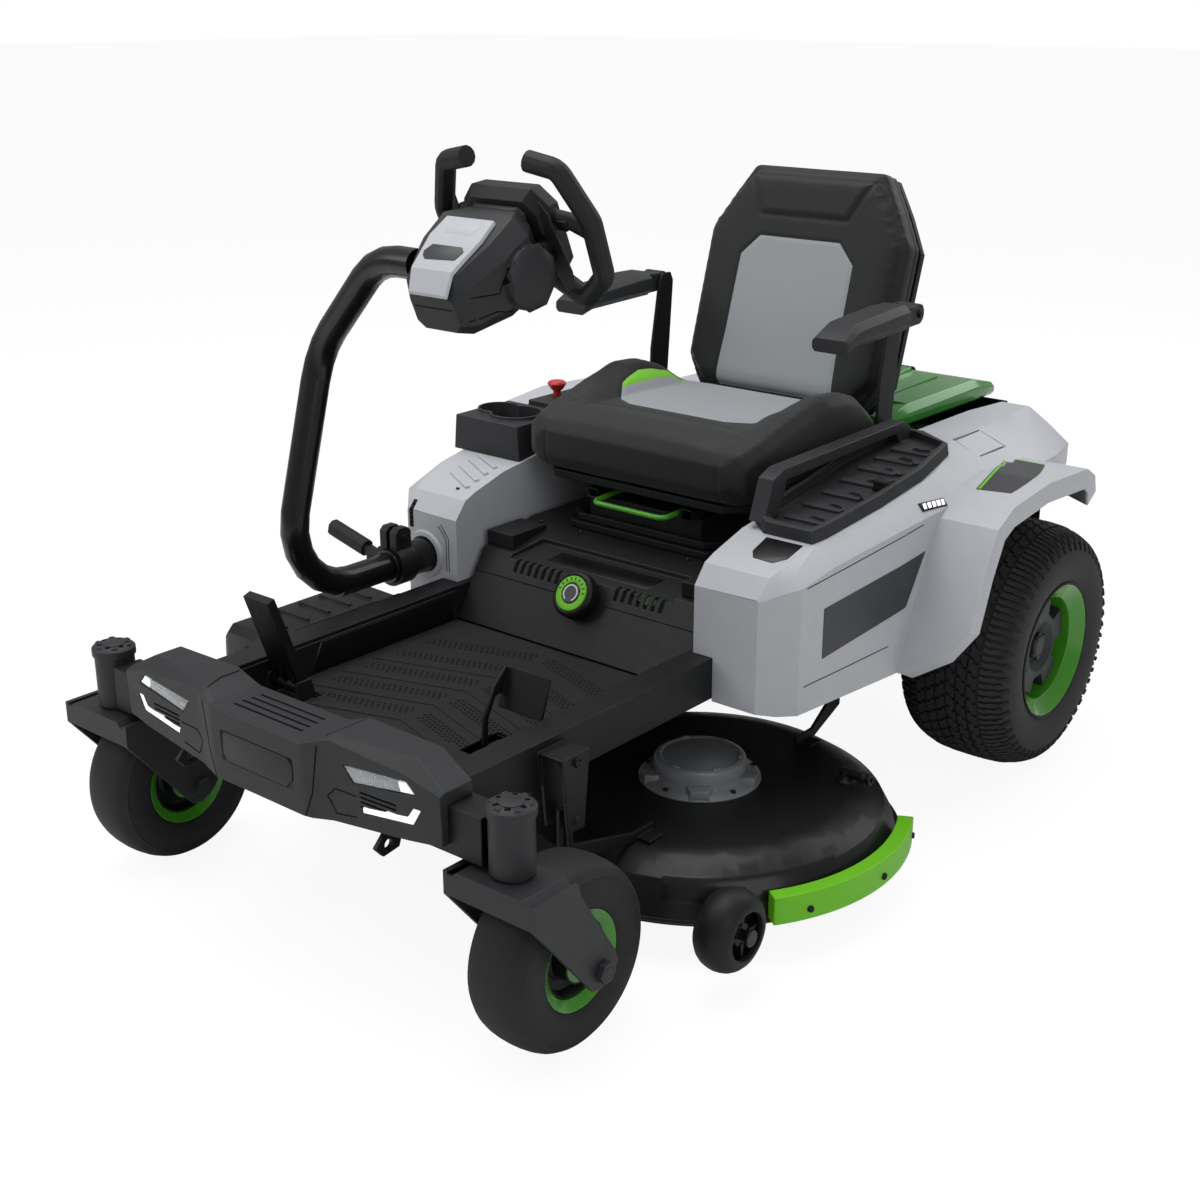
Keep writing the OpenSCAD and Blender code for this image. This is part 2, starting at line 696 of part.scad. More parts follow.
module hood() {
  color("#4f9a45") {
    difference() {
      loft([
        at_y(bay_y[0] - 2, cut_rect(-208, hood_z - 7, 208, hood_z + 18, 6)),
        at_y(bay_y[0] + 50, cut_rect(-228, hood_z - 7, 228, hood_z + 40, 14)),
        at_y(bay_y[1] - 90, cut_rect(-232, hood_z - 7, 232, hood_z + 44, 14)),
        at_y(bay_y[1] + 20, cut_rect(-214, hood_z - 7, 214, hood_z + 20, 8))
      ]);
      loft([
        at_y(bay_y[0] + 3, cut_rect(-204, hood_z - 20, 204, hood_z + 13, 6)),
        at_y(bay_y[0] + 52, cut_rect(-224, hood_z - 20, 224, hood_z + 36, 14)),
        at_y(bay_y[1] - 92, cut_rect(-228, hood_z - 20, 228, hood_z + 40, 14)),
        at_y(bay_y[1] + 15, cut_rect(-210, hood_z - 20, 210, hood_z + 16, 8))
      ]);
    }
    for (x = [-70, 70]) translate([x, 0, hood_z + 40]) loft([
      at_y(bay_y[0] + 70, [[-24, 0], [24, 0], [18, 3], [-18, 3]]),
      at_y(bay_y[1] - 100, [[-24, 2], [24, 2], [18, 14], [-18, 14]])
    ]);
    // hinge knuckles
    translate([0, hinge[0], hinge[1]]) both() difference() {
      bar_x(14, 90, 140);
      bar_x(hinge_d + 2 * fit, 80, 150);
    }
  }
}

hitch_d = 16;

module rear_guard() {
  color("#232427") {
    difference() {
      hollow([-ro - 20, tail_y - 50, rail_bot + 6], [ro + 20, tail_y, rail_bot + 60], tube_wall, 0);
      both() block([ri - gap, tail_y - 70, 0], [ro + gap, tail_y - 48, rt + gap]);
      translate([0, tail_y - 25, rail_bot]) cylinder(d = hitch_d, h = 20);
    }
    // hitch plate
    difference() {
      block([-50, tail_y - 49, rail_bot - 2], [50, tail_y - 1, rail_bot + 8]);
      translate([0, tail_y - 25, rail_bot - 10]) cylinder(d = hitch_d, h = 30);
    }
    // tail lamp panel under the hood
    plate_y(cut_rect(-pod_in + 3, rt + 8, pod_in - 3, hood_z - 22, 20), bay_y[1] + gap, 14);
    both() block([180, bay_y[1] + 14, rail_bot + 60], [220, bay_y[1] + 20, rt + 40]);
  }
}

// ---------- wheels ----------

module wheel_motors() {
  color("#2a2b2d") both() translate([0, 0, rear_r]) {
    bar_x(motor_bore - 0.2, ro - 4, ro + 8);
    bar_x(164, ro + 8, ro + 62);
    bar_x(120, ro + 62, ro + 78);
    bar_x(30, ro + 78, rear_x + 42);
    bar_x(20, rear_x + 42, rear_x + 62);
  }
}

rear_bead = 101;

module rear_tyre(s) {
  w = rear_w / 2;
  color("#1a1a1b") translate([s * rear_x, 0, rear_r]) turned_x([
    [rear_bead + gap, -w + 34], [rear_bead + 34, -w + 6], [rear_bead + 62, -w], [rear_r - 22, -w + 8],
    [rear_r - 6, -w + 26], [rear_r, -w + 50], [rear_r, w - 50], [rear_r - 6, w - 26],
    [rear_r - 22, w - 8], [rear_bead + 62, w], [rear_bead + 34, w - 6], [rear_bead + gap, w - 34],
    [rear_bead + gap, w - 48], [rear_bead + 34, w - 22], [rear_r - 28, w - 20], [rear_r - 16, w - 46],
    [rear_r - 16, -w + 46], [rear_r - 28, -w + 20], [rear_bead + 34, -w + 22], [rear_bead + gap, -w + 48]
  ]);
}

module rear_rim(s) {
  w = rear_w / 2 - 32;
  color("#3f7d26") translate([s * rear_x, 0, rear_r]) mirror([s < 0 ? 1 : 0, 0, 0]) difference() {
    turned_x([
      [rear_bead - 5, -w - 4], [rear_bead + 22, -w - 24], [rear_bead + 25, -w - 20], [rear_bead, -w],
      [rear_bead, w], [rear_bead + 25, w + 20], [rear_bead + 22, w + 24], [rear_bead - 5, w + 4],
      [rear_bead - 8, 46], [64, 40], [15 + fit, 40], [15 + fit, 32], [64, 32], [rear_bead - 8, 36],
      [rear_bead - 6, 20]
    ]);
    for (a = [0:72:288]) rotate([a, 0, 0]) translate([0, 0, 50]) bar_x(13, 20, 50);
  }
}

module hub_cover(s) {
  color("#33363a") translate([s * rear_x, 0, rear_r]) mirror([s < 0 ? 1 : 0, 0, 0]) {
    difference() {
      turned_x([[0, 40 + gap], [62, 40 + gap], [62, 50], [34, 72], [0, 72]]);
      bar_x(34, 39, 66);
    }
    for (a = [0:72:288]) rotate([a + 18, 0, 0])
      plate_x([[-14, 56], [14, 56], [12, rear_bead - 10], [-12, rear_bead - 10]], 46, 12);
  }
}

module front_tyre(s) {
  w = front_w / 2;
  bead = 62;
  color("#202021") translate([s * front_x, -wheelbase, front_r]) turned_x([
    [bead + gap, -w + 21], [bead + 24, -w + 4], [bead + 44, -w], [front_r - 12, -w + 8], [front_r, -w + 28],
    [front_r, w - 28], [front_r - 12, w - 8], [bead + 44, w], [bead + 24, w - 4], [bead + gap, w - 21],
    [bead + gap, w - 33], [bead + 24, w - 16], [front_r - 20, w - 18], [front_r - 12, w - 32],
    [front_r - 12, -w + 32], [front_r - 20, -w + 18], [bead + 24, -w + 16], [bead + gap, -w + 33]
  ]);
}

axle_d = 19;

module front_rim(s) {
  w = front_w / 2 - 20;
  bead = 62;
  color("#3f7d26") translate([s * front_x, -wheelbase, front_r]) turned_x([
    [bead - 4, -w - 3], [bead + 11, -w - 12], [bead + 13, -w - 9], [bead, -w], [bead, w],
    [bead + 13, w + 9], [bead + 11, w + 12], [bead - 4, w + 3], [bead - 6, 6], [30, 6], [30, w + 12],
    [axle_d / 2 + fit, w + 12], [axle_d / 2 + fit, -w - 12], [30, -w - 12], [30, -6], [bead - 6, -6]
  ]);
}

// Fork plate in y from the swivel, and z
fork_side = [
  [-47, fork_top - 3], [-47, fork_top - 38], [65, front_r - 24], [84, front_r - 27], [106, front_r - 14],
  [118, front_r], [110, front_r + 22], [41, fork_top - 22], [38, fork_top - 3]
];

module fork(s) {
  color("#2e2f32") translate([s * front_x, swivel_y, 0]) {
    difference() {
      union() {
        both() plate_x(fork_side, fork_in, plate_t);
        // crown with sloped shoulders
        translate([0, 38, 0]) rotate([90, 0, 0]) linear_extrude(85) polygon([
          [-fork_in - plate_t, fork_top - 20], [-fork_in + 16, fork_top], [fork_in - 16, fork_top],
          [fork_in + plate_t, fork_top - 20], [fork_in + plate_t, fork_top - 32], [fork_in, fork_top - 32],
          [fork_in, fork_top - 22], [fork_in - 18, fork_top - crown_t], [-fork_in + 18, fork_top - crown_t],
          [-fork_in, fork_top - 22], [-fork_in, fork_top - 32], [-fork_in - plate_t, fork_top - 32]
        ]);
        // skirt in front of the tyre
        block([-fork_in - 1, -47, fork_top - 38], [fork_in + 1, -42, fork_top - 8]);
      }
      translate([0, trail, front_r]) bar_x(axle_d + 0.4, -fork_in - 20, fork_in + 20);
    }
    // swivel stem
    translate([0, 0, fork_top - 1]) cylinder(d = stem_d, h = rt + 6 - fork_top);
    translate([0, 0, fork_top]) cylinder(d = 50, h = thrust_t - gap);
    // axle bolt with its head, nut and spacers
    translate([0, trail, front_r]) {
      bar_x(axle_d, -fork_in - 20, fork_in + 20);
      both() {
        rotate([90, 0, 90]) translate([0, 0, fork_in + plate_t + gap]) cylinder(d = 32, h = 11, $fn = 6);
        bar_x(30, front_w / 2 - 8 + gap, fork_in - gap);
      }
    }
  }
}

// ---------- steering ----------

module yoke_frame() { translate(yoke_at) rotate([yoke_lean, 0, 0]) children(); }

module column_sleeve() {
  color("#131415") difference() {
    translate([-column_x, 0, column_z]) bar_y(sleeve_d, sleeve_end, -560);
    translate([-column_x, 0, column_z]) bar_y(column_d + 0.2, sleeve_end - 1, -555);
  }
  // foot that stands the sleeve on the rail
  color("#131415") difference() {
    block([-column_x - 20, -660, rt + gap], [-ro + 30, -600, column_z]);
    translate([-column_x, 0, column_z]) bar_y(sleeve_d - 2, -700, -555);
  }
}

module column_tube() {
  inner = [for (i = [0:4]) column_route[i] + [i == 4 ? -6 : 0, 0, 0]];
  start = -1051 + bend_r + 4;
  color("#131415") difference() {
    union() {
      bent_bar(column_route, column_d - 0.6, bend_r, 20);
      translate([-column_x, 0, column_z]) bar_y(column_d, start, -600);
    }
    bent_bar(inner, column_d - 9, bend_r, 10);
    translate([-column_x, 0, column_z]) bar_y(column_d - 8, start + 4, -590);
  }
}

clamp_y = sleeve_end + 26;

lever_at = [-column_x - 50, clamp_y, column_z + 6];
lever_pin = 8;

module clamp() {
  color("#202123") translate([-column_x, clamp_y, column_z]) {
    difference() {
      union() {
        bar_y(sleeve_d + 13, -18, 18);
        both() plate_x([[-18, 20], [18, 20], [18, 62], [10, 70], [-10, 70], [-18, 62]], 4, 17);
        // lugs that carry the release lever
        for (y = [-17, 11]) block([-60, y, -4], [-30, y + 6, 16]);
      }
      bar_y(sleeve_d + 2 * gap, -20, 20);
      block([-4, -20, 20], [4, 20, 80]);
      translate([0, 0, 53]) bar_x(20, -23, -17);
      block([-60, -10.7, -10], [-40.3, 10.7, 22]);
    }
    // clamp bolt and lever pin
    translate([0, 0, 53]) bar_x(10, -17.5, 24);
    translate([-50, 0, 6]) bar_y(lever_pin, -17, 17);
  }
}

module clamp_lever() {
  color("#1c1d1f") translate(lever_at) rotate([0, 14, 0]) difference() {
    union() {
      bar_y(18, -10.4, 10.4);
      block([-30, -9, -7], [0, 9, 7]);
      rotate([0, -90, 0]) translate([0, 0, 26]) linear_extrude(92) polygon(cut_rect(-15, -13, 15, 13, 7));
    }
    bar_y(lever_pin + 2 * fit, -20, 20);
  }
}

function head_cut(n, u, lo, hi, c) = at_y(n, cut_rect(-u, lo, u, hi, c));

head_sections = [
  head_cut(-210, 44, -46, 14, 12), head_cut(-190, 62, -58, 38, 18), head_cut(-128, 88, -62, 56, 22),
  head_cut(-74, 92, -58, 68, 24), head_cut(-40, 66, -44, 60, 20)
];

module steering_head() {
  color("#313337") yoke_frame() difference() {
    union() {
      loft(head_sections);
      both() translate([0, -94, -14]) bar_x(96, 80, 97);
      // neck to the yoke
      bar_y(52, -46, -32);
    }
    bar_y(yoke_d + 2 * fit, -72, -30);
    rotate([-yoke_lean, 0, 0]) translate(head_in - yoke_at) bar_x(column_d + 2 * gap, -30, 16);
  }
}

function mask_top(n) = lookup(n, [[-213, 12], [-190, 38.5], [-128, 56.5], [-88, 65.2]]);

module head_mask() {
  color("#c3c6cb") yoke_frame() loft([
    for (p = [[-213, 40], [-190, 43], [-128, 54], [-88, 50]])
      at_y(p[0], [[-p[1], mask_top(p[0])], [p[1], mask_top(p[0])],
                  [p[1] - 3, mask_top(p[0]) + 6], [-p[1] + 3, mask_top(p[0]) + 6]])
  ]);
}

grip_d = 33;
yoke_d = 30;

module yoke() {
  color("#1f2022") yoke_frame() {
    both() bent_bar([[60, -3, 122], [112, 0, 110], [149, 0, 30], [145, 0, -60], [98, 0, -104], [46, 0, -70]],
                    grip_d, 24);
    both() bent_bar([[50, 0, 34], [100, -2, 32], [146, 0, 10]], 24, 30);
    // paddles behind the grips
    both() plate_y([[84, 74], [96, 54], [112, -40], [108, -68], [92, -76], [80, -50]], -30, 3);
    both() block([60, -30, -40], [90, -20, 20]);
    bar_y(yoke_d, -66, -20);
    // hub housing, with its pivot in front
    loft([
      at_y(-30, cut_rect(-74, -62, 74, 70, 22)), at_y(-12, cut_rect(-86, -74, 86, 82, 26)),
      at_y(14, cut_rect(-80, -68, 80, 76, 26)), at_y(22, cut_rect(-60, -48, 60, 56, 22))
    ]);
  }
}

// ---------- seat ----------

lever_y = -462;
seat_lever_pin = 8;

module seat_carriage() {
  color("#222426") {
    hollow([-124, -512, box_top - 34], [124, -176, cushion_z - 42], 4, 2);
    block([-124, -512, cushion_z - 46], [124, -176, cushion_z - 42]);
    // feet that rest on the box's side walls
    for (y = [-480, -240]) block([-ri + 4 + gap, y, box_top - 34], [ri - 4 - gap, y + 40, box_top - 28]);
    // lugs and pins of the seat lever
    both() {
      block([64, -472, cushion_z - 44], [70, -452, cushion_z - 27]);
      translate([0, lever_y, cushion_z - 34]) bar_x(seat_lever_pin, 66, 88);
    }
    // slide rails
    both() hollow([92, -530, cushion_z - 42], [116, -170, cushion_z - 24], 3, 1);
  }
}

module seat_pan() {
  w = seat_w / 2;
  color("#1c1d1f") {
    translate([0, 0, cushion_z - 14]) linear_extrude(14 - gap)
      polygon(cut_rect(-w + 26, cushion_y[0] + 26, w - 26, -64, 40));
    both() block([88, -500, cushion_z - 24 + gap], [120, -190, cushion_z - 13]);
    // cross bar with the armrests' brackets
    block([-w - 8, -176, cushion_z - 13], [w + 8, -130, cushion_z - 1]);
    both() {
      plate_x([[-176, cushion_z - 13], [-130, cushion_z - 13], [-118, cushion_z + 150], [-108, arm_pin[1]],
               [-116, arm_pin[1] + 16], [-140, arm_pin[1] + 16], [-150, arm_pin[1]], [-172, cushion_z + 150]],
              w + 2, 6);
      translate([0, arm_pin[0], arm_pin[1]]) bar_x(arm_pin_d, w + 3, arm_x + 28);
      // uprights under the backrest
      block([100, -92, cushion_z - 13], [130, -73, back_foot[2] - 15.4]);
    }
  }
}

// Section of the cushion: side height and middle height
function cushion_cut(y, w, lo, side, mid) = at_y(y, [for (p = [
  [-w + 24, lo], [w - 24, lo], [w, lo + 18], [w, side - 22], [w - 18, side], [w - 44, side - 2],
  [w - 92, mid], [-w + 92, mid], [-w + 44, side - 2], [-w + 18, side], [-w, side - 22], [-w, lo + 18]
]) [p[0], cushion_z + p[1]]]);

module seat_cushion() {
  w = seat_w / 2;
  t = seat_t;
  color("#26272a") loft([
    cushion_cut(cushion_y[0], w - 30, 22, t - 30, t - 30), cushion_cut(-548, w - 8, 4, t - 8, t - 8),
    cushion_cut(-500, w, 0, t + 6, t), cushion_cut(-400, w, 0, t + 36, t - 4),
    cushion_cut(-320, w, 0, t + 52, t - 6), cushion_cut(-260, w, 0, t + 48, t - 8),
    cushion_cut(-210, w, 0, t + 34, t - 12), cushion_cut(-146, w - 6, 0, t - 8, t - 16),
    cushion_cut(-130, w - 12, 0, 66, 66), cushion_cut(cushion_y[1], w - 24, 2, 52, 52)
  ]);
}

module back_frame() { translate([0, back_foot[1], back_foot[2]]) rotate([-back_lean, 0, 0]) children(); }

module back_outline(w, top, e) {
  polygon([[-w + 40 + e, e], [w - 40 - e, e], [w - e, 60], [w - e, top - 130], [w - 36 - e, top - 66],
           [w - 78 - e, top - e], [-w + 78 + e, top - e], [-w + 36 + e, top - 66], [-w + e, top - 130],
           [-w + e, 60]]);
}

back_t = 78;

module seat_back() {
  w = seat_w / 2 - 28;
  color("#232427") back_frame() {
    translate([0, back_t - 26, 0]) rotate([90, 0, 0]) linear_extrude(back_t - 26) back_outline(w, back_h, 0);
    rotate([90, 0, 0]) linear_extrude(14) back_outline(w, back_h, 16);
  }
}

module back_shell() {
  w = seat_w / 2 - 28;
  color("#1a1b1d") back_frame() translate([0, back_t - 26 + 14 + gap, 0]) rotate([90, 0, 0])
    linear_extrude(14) back_outline(w, back_h - 4, 4);
}

module armrest(s) {
  y = arm_pin[0];
  z = arm_pin[1];
  color("#3a3c3f") mirror([s < 0 ? 1 : 0, 0, 0]) difference() {
    union() {
      loft([
        at_y(-382, cut_rect(arm_x - 34, arm_z, arm_x + 37, arm_z + 24, 6)),
        at_y(-346, cut_rect(arm_x - 34, arm_z + 6, arm_x + 37, arm_z + 46, 12)),
        at_y(-220, cut_rect(arm_x - 34, arm_z + 10, arm_x + 37, arm_z + 55, 12)),
        at_y(-176, cut_rect(arm_x - 30, arm_z + 10, arm_x + 34, arm_z + 55, 12))
      ]);
      plate_x([[-190, arm_z + 12], [y, z - 18], [y + 14, z - 10], [y + 14, z + 14], [-180, arm_z + 50]],
              arm_x - 18, 40);
      translate([0, y, z]) bar_x(36, arm_x - 18, arm_x + 22);
    }
    translate([0, y, z]) bar_x(arm_pin_d + 2 * fit, 200, 400);
  }
}

module seat_lever() {
  color("#4f9a2c") translate([0, 0, cushion_z - 34]) difference() {
    union() {
      bent_bar([[-79, lever_y - 4, 0], [-79, -560, -4], [79, -560, -4], [79, lever_y - 4, 0]], 10, 16);
      both() translate([0, lever_y, 0]) bar_x(15, 74, 86);
    }
    both() translate([0, lever_y, 0]) bar_x(seat_lever_pin + 2 * fit, 70, 90);
  }
}

// ---------- controls ----------

module dial_knob() {
  color("#232427") dial_frame() {
    difference() {
      bar_y(80, -32, -5);
      for (a = [0:20:340]) rotate([0, a, 0]) translate([40, -18, 0]) cube([4, 30, 6], center = true);
    }
    bar_y(58, -35, -32);
    bar_y(dial_shaft - 2 * fit, -5, 22);
  }
}

module drive_pedal() {
  color("#161718") difference() {
    union() {
      plate_x([[-1206, rt + 116], [-1192, rt + 121], [-1136, rt - 36], [-1152, rt - 44]], -239, 58);
      // ribs behind the pad
      for (x = [-236, -214, -190])
        plate_x([[-1200, rt + 96], [-1170, rt + 30], [-1164, rt - 30], [-1148, rt - 34],
                 [-1188, rt + 110]], x, 5);
      translate([0, drive_pivot[0], drive_pivot[1]]) bar_x(24, -240, -180);
    }
    translate([0, drive_pivot[0], drive_pivot[1]]) bar_x(pedal_pin + 2 * fit, -250, -170);
  }
}

module lift_pedal() {
  color("#1b1c1e") {
    difference() {
      union() {
        plate_x([[-1093, floor_z - 26], [-1086, rt - 20], [-1062, rt + 26], [-1036, rt + 50],
                 [-1030, rt + 45], [-1054, rt + 22], [-1077, rt - 22], [-1081, floor_z - 26]], lift_x, 5);
        translate([0, lift_pivot[0], lift_pivot[1]]) bar_x(22, lift_x - 10, lift_x + 13);
      }
      translate([0, lift_pivot[0], lift_pivot[1]])
        bar_x(pedal_pin + 2 * fit, lift_x - 11, lift_x + 20);
    }
    plate_x([[-1052, rt - 12], [-1030, rt + 48], [-1025, rt + 46], [-1047, rt - 14]], lift_x, 86);
    plate_x([[-1064, rt + 10], [-1040, rt + 10], [-1030, rt + 40], [-1044, rt + 38]], lift_x, 5);
  }
}

// ---------- deck ----------

function deck_profile(e) = [
  [0, deck_h - e], [deck_r - 96 - e, deck_h - e], [deck_r - 66 - e, deck_h - 4 - e],
  [deck_r - 32 - e, deck_h - 26 - e], [deck_r - 16 - e, deck_h - 56], [deck_r - 10 - e, 6],
  [deck_r - 10 - e, -1 * sign(e)], [0, -1 * sign(e)]
];

module deck_body(e) {
  half = [for (p = deck_profile(e)) [max(p[0] - waist, 0), p[1]]];
  both() translate([deck_x, deck_y, rim_z]) rotate_extrude($fn = 96) polygon(deck_profile(e));
  translate([0, deck_y, rim_z])
    plate_x(concat([for (i = [1:6]) half[i]], [for (i = [6:-1:1]) [-half[i][0], half[i][1]]]),
            -deck_x, 2 * deck_x);
}

waist = 90;                             // how far the skirt steps in between the spindles
port_y = [deck_y - chute_w / 2 + 8, deck_y + chute_w / 2 - 8];
port_x = -deck_x - deck_r + 6;
port_z = rim_z + 140;

chute_pin = 8;

module deck_shell() {
  color("#1e1f21") {
    difference() {
      union() {
        deck_body(0);
        // raised tunnel of the discharge
        block([port_x, port_y[0], rim_z + 30], [-deck_x - 200, port_y[1], port_z]);
      }
      deck_body(4);
      block([port_x - 60, port_y[0] + 4, rim_z - 5], [-deck_x - 206, port_y[1] - 4, port_z - 4]);
      // spindle holes
      both() translate([deck_x, deck_y, 0]) cylinder(d = 40, h = 400);
    }
    // turned lip of the rim
    both() translate([deck_x, deck_y, rim_z]) difference() {
      cylinder(r = deck_r, h = 4, $fn = 96);
      translate([0, 0, -1]) cylinder(r = deck_r - 13, h = 6, $fn = 96);
      block([-deck_r - 1, -deck_r - 1, -2], [-deck_x / 2, deck_r + 1, 10]);
    }
    // ears and pin of the chute's hinge
    for (y = [port_y[0] - 4, port_y[1] - 10]) {
      block([hinge_at[0], y, port_z - 10], [port_x + 14, y + 14, hinge_at[1] + 8]);
      translate([hinge_at[0], 0, hinge_at[1]]) bar_y(16, y, y + 14);
    }
    translate([hinge_at[0], 0, hinge_at[1]]) bar_y(chute_pin, port_y[0], port_y[1]);
    // arms and pins of the gauge rollers
    both() {
      x = roller_at(1)[0] - roller_w / 2 - 8;
      y = roller_at(1)[1];
      plate_x([[y - 14, roller_z - 12], [y + 14, roller_z - 14], [y + 86, roller_z - 14],
               [y + 92, roller_z + 16], [y + 12, roller_z + 14], [y - 12, roller_z + 12]], x, 7);
      translate([0, y, roller_z]) bar_x(roller_pin, x, x + roller_w + 14);
      translate([0, y, roller_z]) bar_x(roller_pin + 10, x + roller_w + 8.4, x + roller_w + 15);
    }
  }
}

// Slotted plates that hang the deck on the frame's pins
module deck_hangers() {
  color("#242527") both() for (y = hang_y) translate([0, y, 0]) mirror([0, y < deck_y ? 0 : 1, 0]) {
    foot = abs(deck_y - y) - deck_r + 96;
    difference() {
      plate_x([[-15, hang_z + 16], [15, hang_z + 16], [15, hang_z - deck_lift + 4],
               [foot - 10, deck_top + 16], [foot + 40, deck_top + 16], [foot + 40, deck_top + gap],
               [foot - 16, deck_top + gap],
               [-15, hang_z - deck_lift - 16]], ro + 20, 7);
      block([ro + 19, -hang_d / 2 - 0.4, hang_z - deck_lift], [ro + 28, hang_d / 2 + 0.4, hang_z]);
      for (z = [hang_z, hang_z - deck_lift]) translate([0, 0, z]) bar_x(hang_d + 0.8, ro + 19, ro + 28);
    }
    block([ro + 24, foot, deck_top + gap], [ro + 50, foot + 34, deck_top + 5]);
  }
}

module deck_motors() {
  color("#86898c") both() translate([deck_x, deck_y, deck_top + gap]) {
    cylinder(r = flange_r, h = flange_t);
    translate([0, 0, flange_t]) cylinder(r = cap_r + 4, h = 4);
    translate([0, 0, flange_t + 4]) cylinder(r = cap_r, h = cap_h - 12);
    translate([0, 0, flange_t + cap_h - 8]) cylinder(r1 = cap_r, r2 = cap_r - 6, h = 5);
    for (a = [0:72:288]) rotate(a) translate([cap_r + 2, -19, 0]) cube([16, 38, 20]);
    // spindle, with the pin that carries the blade
    translate([0, 0, blade_z + 13 - deck_top - gap]) cylinder(d = 34, h = deck_top + gap - blade_z - 12);
    translate([0, 0, blade_z - 4 - deck_top - gap]) cylinder(d = spindle_d, h = 20);
    translate([0, 0, blade_z - 12 - deck_top - gap]) cylinder(d = 30, h = 11, $fn = 6);
  }
}

module deck_guard() {
  color("#74c02b") translate([deck_x, deck_y, 0]) difference() {
    intersection() {
      translate([0, 0, rim_z + 4 + gap]) cylinder(r = deck_r + guard_t, h = 46, $fn = 96);
      rotate([0, 0, -35]) block([0, 0, 0], [500, 400, 400]);
      rotate([0, 0, 27]) block([0, -400, 0], [500, 0, 400]);
    }
    translate([0, 0, rim_z]) cylinder(r = deck_r - 10 + gap, h = 60, $fn = 96);
  }
}

module blade() {
  difference() {
    union() {
      translate([0, 0, 3]) cube([blade_len, 56, 6], center = true);
      for (a = [0, 180]) rotate(a) plate_x([[10, 0], [28, 0], [42, 18], [38, 20]], blade_len / 2 - 110, 90);
      cylinder(d = 52, h = 12);
    }
    translate([0, 0, -1]) cylinder(d = spindle_d + 2 * fit, h = 20);
  }
}

module blade_left() { color("#4a4c4e") translate([deck_x, deck_y, blade_z]) rotate(90) blade(); }
module blade_right() { color("#4a4c4e") translate([-deck_x, deck_y, blade_z]) blade(); }

function roller_at(s) = [
  s * (deck_x + roller_off * cos(roller_a)), deck_y - roller_off * sin(roller_a), roller_z
];

module gauge_roller(s) {
  w = roller_w / 2;
  r = roller_r;
  b = roller_pin / 2 + fit;
  color("#161617") translate(roller_at(s)) turned_x([
    [b, -w + 12], [b + 8, -w + 12], [r - 24, -w], [r - 10, -w + 8], [r - 3, -w + 20], [r, 0], [r - 3, w - 20],
    [r - 10, w - 8], [r - 24, w], [b + 8, w - 12], [b, w - 12]
  ]);
}

hinge_at = [port_x - 12, port_z + 10];

function chute_cut(x, w, z, skirt) = [
  [x, deck_y + w, z - skirt], [x, deck_y + w, z - 14], [x, deck_y + w - 14, z], [x, deck_y - w + 14, z],
  [x, deck_y - w, z - 14], [x, deck_y - w, z - skirt]
];

module chute_body(e) {
  w = chute_w / 2;
  x = hinge_at[0] - 14;
  z = hinge_at[1] + 2;
  loft([
    chute_cut(x + e * 2, w + 6 - e, z - e, 40 + e), chute_cut(x - 70, w + 4 - e, z + 3 - e, 70 + e),
    chute_cut(x - 130, w - 4 - e, z - 4 - e, 90 + e),
    chute_cut(-deck_x - deck_r - chute_x + 16 + e, w - 16 - e, z - 22 - e, 90 + e),
    chute_cut(-deck_x - deck_r - chute_x + e, w - 26 - e, z - 60 - e, 50 + e)
  ]);
}

module chute() {
  color("#26272a") {
    difference() {
      chute_body(0);
      chute_body(5);
    }
    for (i = [-2:2]) block([hinge_at[0] - 120, deck_y + i * 54 - 4, hinge_at[1] - 2],
                           [hinge_at[0] - 30, deck_y + i * 54 + 4, hinge_at[1] + 8]);
    translate([hinge_at[0], 0, hinge_at[1]]) difference() {
      for (y = [port_y[0] + 16, port_y[1] - 46]) {
        bar_y(16, y, y + 30);
        block([-18, y, -2], [0, y + 30, 2]);
      }
      bar_y(chute_pin + 2 * fit, port_y[0], port_y[1]);
    }
  }
}

in_frame() main_frame();
in_frame() swivel_tubes();
in_frame() bumper_cover();
in_frame() headlights();
in_frame() floor_pan();
in_frame() floor_mat();
in_frame() seat_box();
in_frame() cowl_left();
in_frame() cowl_right();
in_frame() tray_left();
in_frame() cup_holder();
in_frame() control_panel();
in_frame() battery_bay();
in_frame() battery_packs();
in_frame() rear_guard();
in_frame() wheel_motors();
in_frame() column_sleeve();
in_frame() seat_boot();
in_frame() fork(1);  // fork_left
in_frame() fork(-1);  // fork_right
in_frame() front_tyre(1);  // front_tyre_left
in_frame() front_tyre(-1);  // front_tyre_right
in_frame() front_rim(1);  // front_rim_left
in_frame() front_rim(-1);  // front_rim_right
in_frame() rear_tyre(1);  // rear_tyre_left
in_frame() rear_tyre(-1);  // rear_tyre_right
in_frame() rear_rim(1);  // rear_rim_left
in_frame() rear_rim(-1);  // rear_rim_right
in_frame() hub_cover(1);  // hub_cover_left
in_frame() hub_cover(-1);  // hub_cover_right
in_frame() column_tube();
in_frame() steering_head();
in_frame() head_mask();
in_frame() yoke();
in_frame() clamp();
in_frame() clamp_lever();
in_frame() seat_carriage();
in_frame() seat_pan();
in_frame() seat_cushion();
in_frame() seat_back();
in_frame() back_shell();
in_frame() armrest(1);  // armrest_left
in_frame() armrest(-1);  // armrest_right
in_frame() seat_lever();
in_frame() hood();
in_frame() stop_knob();
in_frame() dial_knob();
in_frame() drive_pedal();
in_frame() lift_pedal();
in_frame() charge_door();
in_frame() deck_shell();
in_frame() deck_hangers();
in_frame() deck_motors();
in_frame() deck_guard();
in_frame() blade_left();
in_frame() blade_right();
in_frame() gauge_roller(1);  // gauge_roller_left
in_frame() gauge_roller(-1);  // gauge_roller_right
in_frame() chute();
